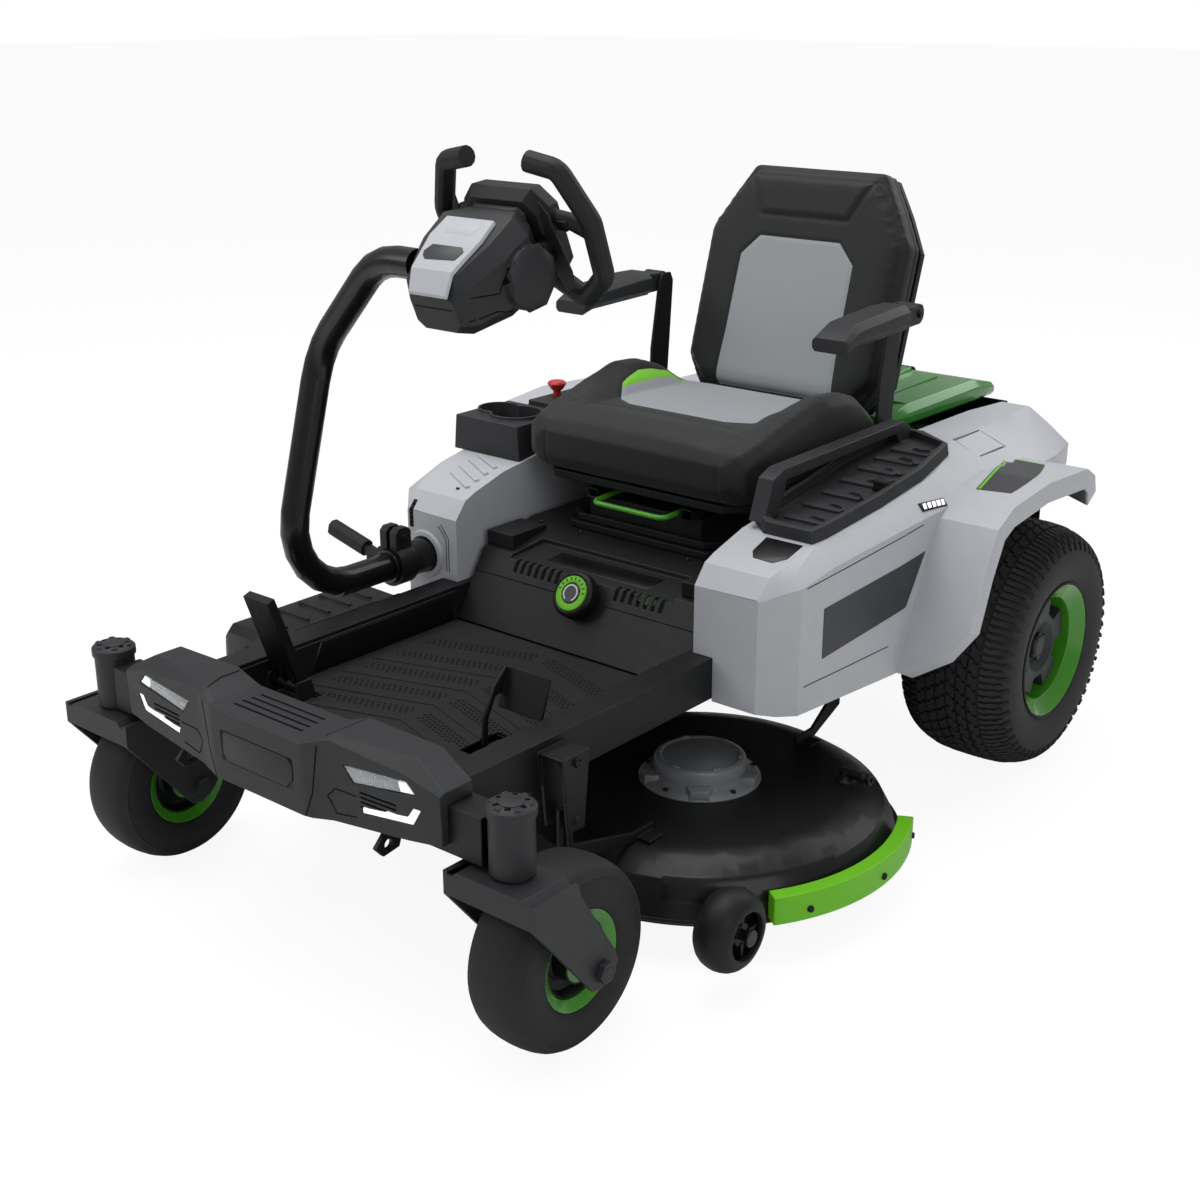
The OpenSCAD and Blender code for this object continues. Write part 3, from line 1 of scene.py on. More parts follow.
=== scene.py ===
"""Looks of a battery zero turn mower, built around its packed construction model.

Every class draws one sub-assembly in the machine's own millimetres: X to the
driver's left, the front towards -Y, Z up, with the zero on the floor under the
middle of the rear axle. The pieces are moved into the row frame when they are
published.
"""
from __future__ import annotations

import json
import logging
import math
from dataclasses import dataclass
from enum import Enum
from typing import Callable, Iterable, Sequence

import bmesh
import bpy
from mathutils import Matrix, Vector
from mathutils.bvhtree import BVHTree

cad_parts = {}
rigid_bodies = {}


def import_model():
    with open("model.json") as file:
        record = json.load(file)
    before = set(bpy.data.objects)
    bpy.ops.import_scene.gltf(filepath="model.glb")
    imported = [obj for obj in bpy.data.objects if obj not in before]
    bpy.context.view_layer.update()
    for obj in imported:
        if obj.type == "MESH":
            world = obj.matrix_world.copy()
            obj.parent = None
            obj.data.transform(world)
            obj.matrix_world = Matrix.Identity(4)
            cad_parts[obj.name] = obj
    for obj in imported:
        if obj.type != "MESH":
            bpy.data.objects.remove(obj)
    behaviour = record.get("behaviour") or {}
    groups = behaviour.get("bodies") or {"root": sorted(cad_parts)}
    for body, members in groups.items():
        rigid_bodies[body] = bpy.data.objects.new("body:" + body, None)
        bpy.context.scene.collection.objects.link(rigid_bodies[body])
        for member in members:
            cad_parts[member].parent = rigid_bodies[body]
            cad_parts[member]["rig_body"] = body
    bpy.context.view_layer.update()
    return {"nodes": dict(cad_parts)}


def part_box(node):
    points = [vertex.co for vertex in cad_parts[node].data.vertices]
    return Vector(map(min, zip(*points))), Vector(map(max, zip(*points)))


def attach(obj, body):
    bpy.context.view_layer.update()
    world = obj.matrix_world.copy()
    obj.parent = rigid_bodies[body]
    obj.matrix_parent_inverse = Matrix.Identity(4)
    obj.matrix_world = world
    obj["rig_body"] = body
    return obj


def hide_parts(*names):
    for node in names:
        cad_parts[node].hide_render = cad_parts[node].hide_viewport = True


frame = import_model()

logging.basicConfig(level=logging.INFO, format="%(message)s")
LOG = logging.getLogger("mower")

MM = 0.001
MERGE = 0.02            # vertices closer than this are one, in millimetres
FULL_TURN = 2 * math.pi
Point = tuple[float, float, float]
Outline = Sequence[tuple[float, float]]


# ---------- machine frame ----------

def middle(node: str) -> Vector:
    """Middle of a construction node's box, in the row frame, in metres."""
    low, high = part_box(node)
    return (low + high) / 2


def machine_origin() -> Vector:
    """Place of the machine's zero in the row frame: the floor under the rear axle."""
    left, right = middle("rear_tyre_left"), middle("rear_tyre_right")
    return Vector(((left.x + right.x) / 2, left.y, 0.0))


TO_ROW = Matrix.Translation(machine_origin()) @ Matrix.Scale(MM, 4)
TO_MACHINE = TO_ROW.inverted()


def extent(node: str) -> tuple[Vector, Vector]:
    """Lowest and highest corner of a construction node.

    Args:
        node: Name of the node.

    Returns:
        Both corners in the machine's millimetres.
    """
    low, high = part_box(node)
    return TO_MACHINE @ low, TO_MACHINE @ high


def wheel_size(node: str) -> tuple[Vector, float, float]:
    """Middle, radius and half width of a wheel or roller, in the machine's millimetres."""
    low, high = extent(node)
    return (low + high) / 2, (high.z - low.z) / 2, (high.x - low.x) / 2


# ---------- finishes ----------

class Grain(Enum):
    """How a surface is broken up when seen from near."""

    SPRAYED = "sprayed"
    MOULDED = "moulded"
    RUBBER = "rubber"
    VINYL = "vinyl"
    CAST = "cast"
    CLEAR = "clear"


# Size of the grain and depth of its relief, in metres
GRAIN_SIZE: dict[Grain, tuple[float, float]] = {
    Grain.SPRAYED: (0.0016, 0.00005),
    Grain.MOULDED: (0.0011, 0.00007),
    Grain.RUBBER: (0.0022, 0.00012),
    Grain.VINYL: (0.0019, 0.00016),
    Grain.CAST: (0.0012, 0.00008),
    Grain.CLEAR: (0.02, 0.00001),
}


def tone(code: str, gain: float = 1.0) -> tuple[float, float, float, float]:
    """Linear colour of a hexadecimal tone.

    Args:
        code: Tone such as "#b9bcc1".
        gain: Factor on the linear colour.

    Returns:
        Red, green, blue and alpha.
    """
    parts = [int(code[i:i + 2], 16) / 255 for i in (1, 3, 5)]
    linear = [p / 12.92 if p <= 0.04045 else ((p + 0.055) / 1.055) ** 2.4 for p in parts]
    return (*(min(1.0, gain * p) for p in linear), 1.0)


@dataclass(frozen=True)
class Finish:
    """One finish: a material slot of the record with its colour and grain."""

    name: str
    slot: str
    colour: str
    grain: Grain
    rough: float = 0.45
    drift: float = 0.05
    metal: float = 0.0
    coat: float = 0.0
    sheen: float = 0.0
    through: float = 0.0
    glow: float = 0.0
    shine: float = 0.3
    wear: float = 0.3

    def material(self) -> bpy.types.Material:
        """The finish as a node material, made once."""
        found = bpy.data.materials.get(self.name)
        return found or MaterialBench(self).build()


class MaterialBench:
    """Builds the node tree of one finish."""

    def __init__(self, finish: Finish) -> None:
        """Start an empty node tree.

        Args:
            finish: The finish to build.
        """
        self.finish = finish
        self.result = bpy.data.materials.new(finish.name)
        self.result.use_nodes = True
        self.nodes = self.result.node_tree.nodes
        self.links = self.result.node_tree.links
        self.shader = self.nodes["Principled BSDF"]
        self.place = self.nodes.new("ShaderNodeTexCoord").outputs["Object"]

    def noise(self, size: float, detail: float = 2.0) -> bpy.types.NodeSocket:
        """Noise of a given size.

        Args:
            size: Size of one cell in metres.
            detail: Octaves of finer noise.

        Returns:
            The noise's value.
        """
        node = self.nodes.new("ShaderNodeTexNoise")
        node.inputs["Scale"].default_value = 1 / size
        node.inputs["Detail"].default_value = detail
        self.links.new(self.place, node.inputs["Vector"])
        return node.outputs["Fac"]

    def cells(self, size: float) -> bpy.types.NodeSocket:
        """Distance to the middle of cells of a given size in metres."""
        node = self.nodes.new("ShaderNodeTexVoronoi")
        node.inputs["Scale"].default_value = 1 / size
        self.links.new(self.place, node.inputs["Vector"])
        return node.outputs["Distance"]

    def threads(self, size: float, direction: str) -> bpy.types.NodeSocket:
        """Parallel threads across one direction.

        Args:
            size: Distance between threads in metres.
            direction: X, Y or Z.

        Returns:
            The height of the threads.
        """
        node = self.nodes.new("ShaderNodeTexWave")
        node.bands_direction = direction
        node.inputs["Scale"].default_value = 0.314 / size
        node.inputs["Distortion"].default_value = 0.6
        self.links.new(self.place, node.inputs["Vector"])
        return node.outputs["Fac"]

    def scaled(self, value: bpy.types.NodeSocket, low: float, high: float,
               start: float = 0.3, end: float = 0.7) -> bpy.types.NodeSocket:
        """A value moved from one range to another.

        Args:
            value: The value, which mostly lies between start and end.
            low: Result at start.
            high: Result at end.
            start: Lower end of the value's range.
            end: Upper end of the value's range.

        Returns:
            The moved value.
        """
        node = self.nodes.new("ShaderNodeMapRange")
        self.links.new(value, node.inputs["Value"])
        for socket, number in (("From Min", start), ("From Max", end), ("To Min", low), ("To Max", high)):
            node.inputs[socket].default_value = number
        return node.outputs["Result"]

    def joined(self, how: str, first: bpy.types.NodeSocket,
               second: bpy.types.NodeSocket | float) -> bpy.types.NodeSocket:
        """Two values put together by a Math node.

        Args:
            how: The Math node's operation.
            first: First value.
            second: Second value or number.

        Returns:
            The result.
        """
        node = self.nodes.new("ShaderNodeMath")
        node.operation = how
        self.links.new(first, node.inputs[0])
        if isinstance(second, float):
            node.inputs[1].default_value = second
        else:
            self.links.new(second, node.inputs[1])
        return node.outputs[0]

    def blend(self, factor: bpy.types.NodeSocket, first: object, second: object) -> bpy.types.NodeSocket:
        """Two colours mixed by a factor.

        Args:
            factor: 0 shows the first colour and 1 the second.
            first: A colour or a socket.
            second: A colour or a socket.

        Returns:
            The mixed colour.
        """
        node = self.nodes.new("ShaderNodeMix")
        node.data_type = "RGBA"
        self.links.new(factor, node.inputs["Factor"])
        for socket, colour in ((node.inputs[6], first), (node.inputs[7], second)):
            if isinstance(colour, bpy.types.NodeSocket):
                self.links.new(colour, socket)
            else:
                socket.default_value = colour
        return node.outputs[2]

    def attribute(self, name: str) -> bpy.types.NodeSocket:
        """Value of a mesh attribute."""
        node = self.nodes.new("ShaderNodeAttribute")
        node.attribute_name = name
        return node.outputs["Fac"]

    def relief(self) -> bpy.types.NodeSocket:
        """Height of the finish's grain, from 0 to 1."""
        grain = self.finish.grain
        size = GRAIN_SIZE[grain][0]
        if grain is Grain.MOULDED:
            return self.cells(size)
        if grain is Grain.VINYL:
            return self.joined("ADD", self.cells(size), self.noise(size * 3))
        if grain is Grain.RUBBER:
            return self.joined("ADD", self.noise(size), self.noise(size * 8))
        return self.noise(size, 3.0)

    def body_colour(self) -> bpy.types.NodeSocket:
        """The colour with its slow drift and its worn edges."""
        finish = self.finish
        drift = self.scaled(self.noise(0.03, 4.0), 0.0, 1.0)
        base = self.blend(drift, tone(finish.colour, 1 - finish.drift), tone(finish.colour, 1 + finish.drift))
        rubbed = self.joined("MULTIPLY", self.attribute("rubbed"), self.scaled(self.noise(0.012, 4.0), 0.0, 1.0))
        rubbed = self.joined("MULTIPLY", rubbed, finish.wear)
        return self.blend(rubbed, base, tone(finish.colour, 2.2))

    def build(self) -> bpy.types.Material:
        """Wire the finish.

        Returns:
            The material.
        """
        finish = self.finish
        shader = self.shader
        self.links.new(self.body_colour(), shader.inputs["Base Color"])
        gloss = self.scaled(self.noise(0.02, 5.0), max(0.03, finish.rough - 0.025), finish.rough + 0.025)
        self.links.new(gloss, shader.inputs["Roughness"])
        shader.inputs["Metallic"].default_value = finish.metal
        shader.inputs["Specular IOR Level"].default_value = finish.shine
        shader.inputs["Coat Weight"].default_value = finish.coat
        shader.inputs["Coat Roughness"].default_value = 0.12
        shader.inputs["Sheen Weight"].default_value = finish.sheen
        shader.inputs["Sheen Roughness"].default_value = 0.5
        shader.inputs["Transmission Weight"].default_value = finish.through
        if finish.glow:
            shader.inputs["Emission Color"].default_value = tone(finish.colour)
            shader.inputs["Emission Strength"].default_value = finish.glow
        bump = self.nodes.new("ShaderNodeBump")
        bump.inputs["Strength"].default_value = 0.7
        bump.inputs["Distance"].default_value = GRAIN_SIZE[finish.grain][1]
        self.links.new(self.relief(), bump.inputs["Height"])
        self.links.new(bump.outputs["Normal"], shader.inputs["Normal"])
        return self.result


FRAME_PAINT = Finish("black_powder_coat", "frame_paint", "#151617", Grain.SPRAYED, rough=0.46)
BOX_PAINT = Finish("seat_box_powder_coat", "frame_paint", "#191a1b", Grain.SPRAYED, rough=0.5)
DECK_PAINT = Finish("deck_powder_coat", "frame_paint", "#151617", Grain.SPRAYED, rough=0.42, coat=0.1)
TUBE_PAINT = Finish("column_gloss_black", "frame_paint", "#0f1011", Grain.SPRAYED, rough=0.3, coat=0.25)
FORK_PAINT = Finish("fork_satin_grey", "swivel_paint", "#2d2e30", Grain.SPRAYED, rough=0.5)
DARK_PLASTIC = Finish("dark_moulding", "dark_plastic", "#2b2c2e", Grain.MOULDED, rough=0.5)
BLACK_PLASTIC = Finish("black_moulding", "dark_plastic", "#141516", Grain.MOULDED, rough=0.5)
TRAY_PLASTIC = Finish("tray_moulding", "dark_plastic", "#2e2f31", Grain.MOULDED, rough=0.52)
GRIP_PLASTIC = Finish("grip_moulding", "dark_plastic", "#1f2021", Grain.RUBBER, rough=0.55)
LIGHT_PLASTIC = Finish("pod_moulding", "grey_plastic", "#b8bac0", Grain.MOULDED, rough=0.42, drift=0.02, wear=0.1)
MASK_PLASTIC = Finish("mask_moulding", "grey_plastic", "#b9bbc1", Grain.MOULDED, rough=0.4, drift=0.02, wear=0.1)
MAT_RUBBER = Finish("mat_rubber", "rubber_mat", "#1d1e1f", Grain.RUBBER, rough=0.62)
TYRE_RUBBER = Finish("tyre_rubber", "tyre_rubber", "#161617", Grain.RUBBER, rough=0.64, wear=0.5)
CASTER_RUBBER = Finish("caster_rubber", "tyre_rubber", "#212122", Grain.RUBBER, rough=0.62)
RIM_PAINT = Finish("rim_green_enamel", "rim_green", "#3d8a1b", Grain.SPRAYED, rough=0.25, coat=0.5)
HUB_PLASTIC = Finish("hub_moulding", "dark_plastic", "#2f3134", Grain.MOULDED, rough=0.42)
LIME_PLASTIC = Finish("lime_moulding", "lime_plastic", "#6cbf1e", Grain.MOULDED, rough=0.4, drift=0.03, wear=0.1)
LEVER_PAINT = Finish("lever_green_enamel", "lever_green", "#4a9a26", Grain.SPRAYED, rough=0.28, coat=0.5)
HOOD_PLASTIC = Finish("hood_tinted_shell", "hood_green", "#3f9a38", Grain.CLEAR, rough=0.16, coat=0.4,
                      through=0.35, wear=0.1)
MOTOR_GREY = Finish("motor_cover_grey", "motor_alu", "#76787b", Grain.CAST, rough=0.4, metal=0.15, drift=0.03)
LAMP_SILVER = Finish("lamp_silver", "lens", "#e4e6e8", Grain.CLEAR, rough=0.3, metal=0.2, wear=0.0)
STEEL = Finish("blade_steel", "blade_steel", "#6b6d70", Grain.CAST, rough=0.35, metal=0.85)
BOLT_STEEL = Finish("black_bolt_steel", "blade_steel", "#2a2b2c", Grain.CAST, rough=0.35, metal=0.6)
PEDAL_PAINT = Finish("pedal_black", "pedal_steel", "#111213", Grain.SPRAYED, rough=0.5)
KNOB_PLASTIC = Finish("stop_knob_red", "knob_red", "#c92f2c", Grain.MOULDED, rough=0.3, coat=0.3)
PACK_PLASTIC = Finish("pack_moulding", "pack_grey", "#36393c", Grain.MOULDED, rough=0.45)
LENS_CLEAR = Finish("lamp_lens", "lens", "#dfe3e6", Grain.CLEAR, rough=0.08, coat=0.5, through=0.75, wear=0.0)
REFLECTOR = Finish("lamp_reflector", "lens", "#8e9194", Grain.CLEAR, rough=0.22, metal=0.6, wear=0.0)
LIGHT_BAR = Finish("running_light", "lens", "#f6f7f8", Grain.CLEAR, rough=0.3, glow=0.7, wear=0.0)
PLATE_BLACK = Finish("plain_plate_black", "dark_plastic", "#0d0d0e", Grain.MOULDED, rough=0.3, coat=0.2)
PLATE_GREY = Finish("plain_plate_grey", "dark_plastic", "#3c3d3f", Grain.MOULDED, rough=0.35)
# Painted shade: near-black, dull strips laid along each panel gap, slot and fold line
GAP_SHADE_BLACK = Finish("panel_gap", "dark_plastic", "#070708", Grain.MOULDED, rough=0.7, shine=0.1, wear=0.0)
LENS_RED = Finish("tail_lens", "lens", "#8f1416", Grain.CLEAR, rough=0.15, coat=0.5, wear=0.0)
MARK_WHITE = Finish("printed_white", "grey_plastic", "#d5d6d8", Grain.CLEAR, rough=0.5, wear=0.0)


# ---------- bench tools ----------

def turned(bm: bmesh.types.BMesh, profile: Outline, centre: Vector, axis: str = "X",
           steps: int = 96, closed: bool = True) -> list:
    """Turn a profile around an axis.

    Args:
        bm: Mesh that receives the turned shape.
        profile: Pairs of radius and place along the axis.
        centre: Point on the axis where the place is zero.
        axis: X, Y or Z.
        steps: Steps of the turn.
        closed: Whether the profile closes on itself.

    Returns:
        The new vertices.
    """
    along = {"X": Vector((1, 0, 0)), "Y": Vector((0, 1, 0)), "Z": Vector((0, 0, 1))}[axis]
    out = Vector((1, 0, 0)) if axis == "Z" else Vector((0, 0, 1))
    before = set(bm.verts)
    verts = [bm.verts.new(centre + out * r + along * s) for r, s in profile]
    edges = [bm.edges.new((verts[i], verts[i + 1])) for i in range(len(verts) - 1)]
    if closed:
        edges.append(bm.edges.new((verts[-1], verts[0])))
    bmesh.ops.spin(bm, geom=verts + edges, cent=centre, axis=along, angle=FULL_TURN, steps=steps,
                   use_merge=True, use_normal_flip=False, use_duplicate=False)
    return [v for v in bm.verts if v not in before]


def mirrored(line: Outline) -> list[tuple[float, float]]:
    """The corners of a profile on the other side of its middle, in reverse order."""
    return [(a, -b) for a, b in line][::-1]


def swing(bm: bmesh.types.BMesh, verts: list, centre: Vector, angle: float, axis: str = "X") -> None:
    """Turn vertices about an axis through a point, by an angle in radians."""
    bmesh.ops.rotate(bm, verts=verts, cent=centre, matrix=Matrix.Rotation(angle, 3, axis))


def upright(points: Iterable[tuple[float, float]], y: float) -> list[Vector]:
    """Pairs of x and z as points of the plane at y."""
    return [Vector((x, y, z)) for x, z in points]


def prism(bm: bmesh.types.BMesh, outline: Iterable[Vector | Point], push: Vector, taper: float = 1.0) -> list:
    """A plate: an outline pushed along a direction.

    Args:
        bm: Mesh that receives the plate.
        outline: Corners of the first face.
        push: Way from the first face to the second.
        taper: Scale of the second face about its own middle.

    Returns:
        The new vertices.
    """
    face = bm.faces.new([bm.verts.new(Vector(p)) for p in outline])
    start = list(face.verts)
    made = bmesh.ops.extrude_face_region(bm, geom=[face], use_keep_orig=True)
    top = [g for g in made["geom"] if isinstance(g, bmesh.types.BMVert)]
    bmesh.ops.translate(bm, vec=push, verts=top)
    mid = sum((v.co for v in top), Vector()) / len(top)
    if taper != 1.0:
        for v in top:
            v.co = mid + (v.co - mid) * taper
    return start + top


def box(bm: bmesh.types.BMesh, low: Vector | Point, high: Vector | Point) -> list:
    """A plain block between two corners, for bevelling or joining to others.

    Args:
        bm: Mesh that receives the block.
        low: Lowest corner.
        high: Highest corner.

    Returns:
        The new vertices.
    """
    low, high = Vector(low), Vector(high)
    place = Matrix.Translation((low + high) / 2) @ Matrix.Diagonal((*(high - low), 1.0))
    return bmesh.ops.create_cube(bm, size=1.0, matrix=place)["verts"]


def bevelled(bm: bmesh.types.BMesh, width: float, limit: float = 25.0, segments: int = 2) -> None:
    """Round every edge that is sharper than a limit, and note the rounded faces as rubbed.

    Args:
        bm: Mesh to round.
        width: Width of the rounding.
        limit: Angle in degrees from which an edge counts as sharp.
        segments: Segments of the rounding.
    """
    layer = bm.faces.layers.float.get("rubbed") or bm.faces.layers.float.new("rubbed")
    sharp = [e for e in bm.edges if e.is_manifold and e.calc_face_angle(0.0) > math.radians(limit)]
    if sharp:
        made = bmesh.ops.bevel(bm, geom=sharp, offset=width, offset_type="OFFSET", segments=segments,
                               profile=0.5, affect="EDGES", clamp_overlap=False, material=-1,
                               loop_slide=True)
        for f in made["faces"]:
            f[layer] = 1.0


def screw(bm: bmesh.types.BMesh, at: Vector, facing: Vector, radius: float, sides: int = 6) -> list:
    """A screw or bolt head with a socket, which stands on a surface.

    Args:
        bm: Mesh that receives the head.
        at: Middle of its foot.
        facing: Direction that the head faces.
        radius: Radius of the head.
        sides: Six for a hexagon head, more for a round one.

    Returns:
        The new vertices.
    """
    turn = Vector((0, 0, 1)).rotation_difference(facing.normalized()).to_matrix().to_4x4()
    place = Matrix.Translation(at) @ turn @ Matrix.Translation((0, 0, radius * 0.3))
    head = bmesh.ops.create_cone(bm, cap_ends=True, segments=sides, radius1=radius, radius2=radius * 0.86,
                                 depth=radius * 0.7, matrix=place)["verts"]
    cap = max({f for v in head for f in v.link_faces}, key=lambda f: f.calc_center_median().dot(facing))
    bmesh.ops.inset_individual(bm, faces=[cap], thickness=radius * 0.4, depth=0.0)
    bmesh.ops.translate(bm, verts=list(cap.verts), vec=-facing.normalized() * radius * 0.35)
    return head


def publish(bm: bmesh.types.BMesh, name: str, finish: Finish, body: str,
            stands_for: Sequence[str] = (), smooth: float = 35.0) -> bpy.types.Object:
    """Turn a finished mesh into a piece of the machine.

    Args:
        bm: Mesh in machine millimetres. It is freed.
        name: Name of the piece.
        finish: Its finish.
        body: Body that it rides on.
        stands_for: Construction nodes that it replaces.
        smooth: Edges sharper than this many degrees stay sharp.

    Returns:
        The piece.
    """
    bmesh.ops.remove_doubles(bm, verts=bm.verts, dist=MERGE)
    bmesh.ops.recalc_face_normals(bm, faces=bm.faces)
    bm.transform(TO_ROW)
    mesh = bpy.data.meshes.new(name)
    bm.to_mesh(mesh)
    bm.free()
    mesh.shade_smooth()
    mesh.set_sharp_from_angle(angle=math.radians(smooth))
    piece = bpy.data.objects.new(name, mesh)
    bpy.context.scene.collection.objects.link(piece)
    mesh.materials.append(finish.material())
    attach(piece, body)
    if stands_for:
        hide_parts(*stands_for)
    LOG.info("%s: %d faces on %s", name, len(mesh.polygons), body)
    return piece


# ---------- refined mouldings and weldments ----------

@dataclass
class Refiner:
    """Copies of construction nodes with rounded, worn edges."""

    flat: float = 0.6        # degrees within which two faces are one
    sharp: float = 28.0      # degrees from which an edge is rounded
    drop: float = 0.03       # share of its volume that a rounding may take

    def solid(self, node: str) -> bmesh.types.BMesh:
        """A node's mesh, merged and free of needless edges.

        Args:
            node: Name of the construction node.

        Returns:
            The mesh in machine millimetres.
        """
        bm = bmesh.new()
        bm.from_mesh(frame["nodes"][node].data)
        bm.transform(TO_MACHINE)
        bmesh.ops.remove_doubles(bm, verts=bm.verts, dist=MERGE)
        bmesh.ops.dissolve_limit(bm, angle_limit=math.radians(self.flat), use_dissolve_boundaries=False,
                                 verts=bm.verts, edges=bm.edges, delimit=set())
        return bm

    def rounded(self, node: str, width: float) -> bmesh.types.BMesh:
        """A node's mesh with its edges rounded as far as they bear it.

        Args:
            node: Name of the construction node.
            width: Width of the rounding that is tried first.

        Returns:
            The mesh in machine millimetres.
        """
        plain = self.solid(node)
        volume = abs(plain.calc_volume())
        low, high = extent(node)
        for share in (1.0, 0.5, 0.25):
            bm = plain.copy()
            bevelled(bm, width * share, self.sharp)
            inside = all(low[i] - 0.2 <= v.co[i] <= high[i] + 0.2 for v in bm.verts for i in range(3))
            if inside and abs(abs(bm.calc_volume()) - volume) < self.drop * volume:
                plain.free()
                return bm
            bm.free()
        LOG.info("%s keeps its sharp edges", node)
        return plain

    def dress(self, node: str, finish: Finish, width: float = 1.2) -> bpy.types.Object:
        """Replace a node with its refined copy.

        Args:
            node: Name of the construction node.
            finish: Finish of the copy.
            width: Width of its rounded edges.

        Returns:
            The piece.
        """
        body = frame["nodes"][node]["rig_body"]
        piece = publish(self.rounded(node, width), f"{node}_finished", finish, body, (node,))
        weighted = piece.modifiers.new("weighted", "WEIGHTED_NORMAL")
        weighted.keep_sharp = True
        return piece


# ---------- wheels ----------

class Side(Enum):
    """Side of the machine, as seen by the driver."""

    LEFT = 1
    RIGHT = -1

    @property
    def word(self) -> str:
        """The side's name in lower case."""
        return self.name.lower()


def walk(line: Outline, distance: float) -> tuple[Vector, Vector]:
    """Point and outward normal at a distance along a line.

    Args:
        line: Corners of the line, as radius and place.
        distance: Distance from the line's start.

    Returns:
        The point and the unit normal, both as radius and place.
    """
    left = distance
    for (r0, s0), (r1, s1) in zip(line, line[1:]):
        way = Vector((r1 - r0, s1 - s0))
        if left <= way.length or (r1, s1) == tuple(line[-1]):
            share = left / way.length
            return Vector((r0, s0)) + way * share, Vector((way.y, -way.x)).normalized()
        left -= way.length
    raise ValueError("the line has no length")


@dataclass
class TurfTyre:
    """Rear tyre: a round-shouldered casing with a tread of interlocked blocks."""

    side: Side
    depth: float = 6.0          # height of the tread blocks
    pitches: int = 54
    block: float = 20.0         # width of a block's column
    shoulder_from: float = 62.0
    shoulder_to: float = 118.0

    def __post_init__(self) -> None:
        """Read the tyre's place and size from its construction node."""
        self.centre, self.radius, self.half = wheel_size(f"rear_tyre_{self.side.word}")
        self.bead = extent(f"rear_rim_{self.side.word}")[1].z - self.centre.z - 24

    def crown(self) -> list[tuple[float, float]]:
        """Outer line of the casing from the middle of the tread to the side wall."""
        r, w = self.radius - self.depth, self.half
        return [(r, 0), (r - 0.4, 30), (r - 2.5, 54), (r - 7, 74), (r - 15, 91), (r - 26, 102), (r - 42, 108),
                (r - 58, w - 1), (r - 74, w - 3), (r - 90, w - 8), (self.bead + 16, w - 16),
                (self.bead + 10, w - 24), (self.bead + 2, w - 34)]

    def casing(self, bm: bmesh.types.BMesh) -> None:
        """Turn the casing, hollow like a real one."""
        outer = self.crown()
        inner = [(r - 12, s * 0.84) for r, s in outer[:-2]] + [(self.bead + 2, self.half - 46)]
        half = outer + inner[::-1]
        other = [(r, -s) for r, s in inner[1:]] + mirrored(outer[1:])
        turned(bm, half + other, self.centre, "X", 108)

    def wrapped(self, point: Vector, side: int) -> Vector:
        """A point of the flat tread laid on the tyre.

        Args:
            point: Place across, place along and height over the casing.
            side: 1 or -1, the half of the tyre.

        Returns:
            The point on the tyre.
        """
        spot, normal = walk(self.crown(), abs(point.x))
        spot = spot + normal * point.z
        turn = point.y / self.radius
        return self.centre + Vector((side * spot.y, -spot.x * math.sin(turn), spot.x * math.cos(turn)))

    def tread(self, bm: bmesh.types.BMesh) -> None:
        """Draw one pitch of the tread and repeat it around the tyre."""
        pitch = FULL_TURN * self.radius / self.pitches
        tall, wide, step = pitch * 0.80, self.block - 3.6, pitch * 0.34
        zigzag = [(0, 0), (wide * 0.34, 0), (wide * 0.62, step), (wide, step),
                  (wide, step + tall), (wide * 0.56, step + tall), (wide * 0.30, tall), (0, tall)]
        first = []
        for side in (1, -1):
            for column in range(3):
                start = 1.8 + column * self.block
                shift = (column % 2) * pitch * 0.5 + (0.0 if side > 0 else pitch * 0.25)
                verts = prism(bm, [(start + x, y + shift, -2.0) for x, y in zigzag],
                              Vector((0, 0, self.depth + 1.7)), 0.93)
                first += self.laid(verts, side)
            for half in (0, 1):
                y0 = half * pitch / 2
                reach = self.shoulder_to - (14 if half else 0)
                cuts = 5
                line = [self.shoulder_from + (reach - self.shoulder_from) * i / cuts for i in range(cuts + 1)]
                lug = [(x, y0 + 2.0 + 3.0 * (i % 2), -2.0) for i, x in enumerate(line)]
                lug += [(x, y0 + pitch / 2 - 2.2 + 3.0 * (i % 2) * 0.4, -2.0)
                        for i, x in reversed(list(enumerate(line)))]
                first += self.laid(prism(bm, lug, Vector((0, 0, self.depth * 0.8 + 1.7)), 0.97), side)
        faces = list({f for v in first for f in v.link_faces})
        bmesh.ops.spin(bm, geom=faces, cent=self.centre, axis=(1, 0, 0), angle=FULL_TURN, steps=self.pitches,
                       use_duplicate=True, use_merge=False)
        bmesh.ops.delete(bm, geom=first, context="VERTS")

    def laid(self, verts: list, side: int) -> list:
        """Lay a flat block on the tyre.

        Args:
            verts: Vertices of the block.
            side: 1 or -1, the half of the tyre.

        Returns:
            The same vertices.
        """
        for v in verts:
            v.co = self.wrapped(v.co, side)
        return verts

    def build(self) -> None:
        """Make the tyre."""
        bm = bmesh.new()
        self.casing(bm)
        self.tread(bm)
        for place in (-0.93, 0.93):
            turned(bm, [(self.bead + 22, self.half * place), (self.bead + 24, self.half * place + 1.6),
                        (self.bead + 26, self.half * place), (self.bead + 24, self.half * place - 6)], self.centre)
        word = self.side.word
        publish(bm, f"turf_tyre_{word}", TYRE_RUBBER, f"rear_wheel_{word}", (f"rear_tyre_{word}",), 32)


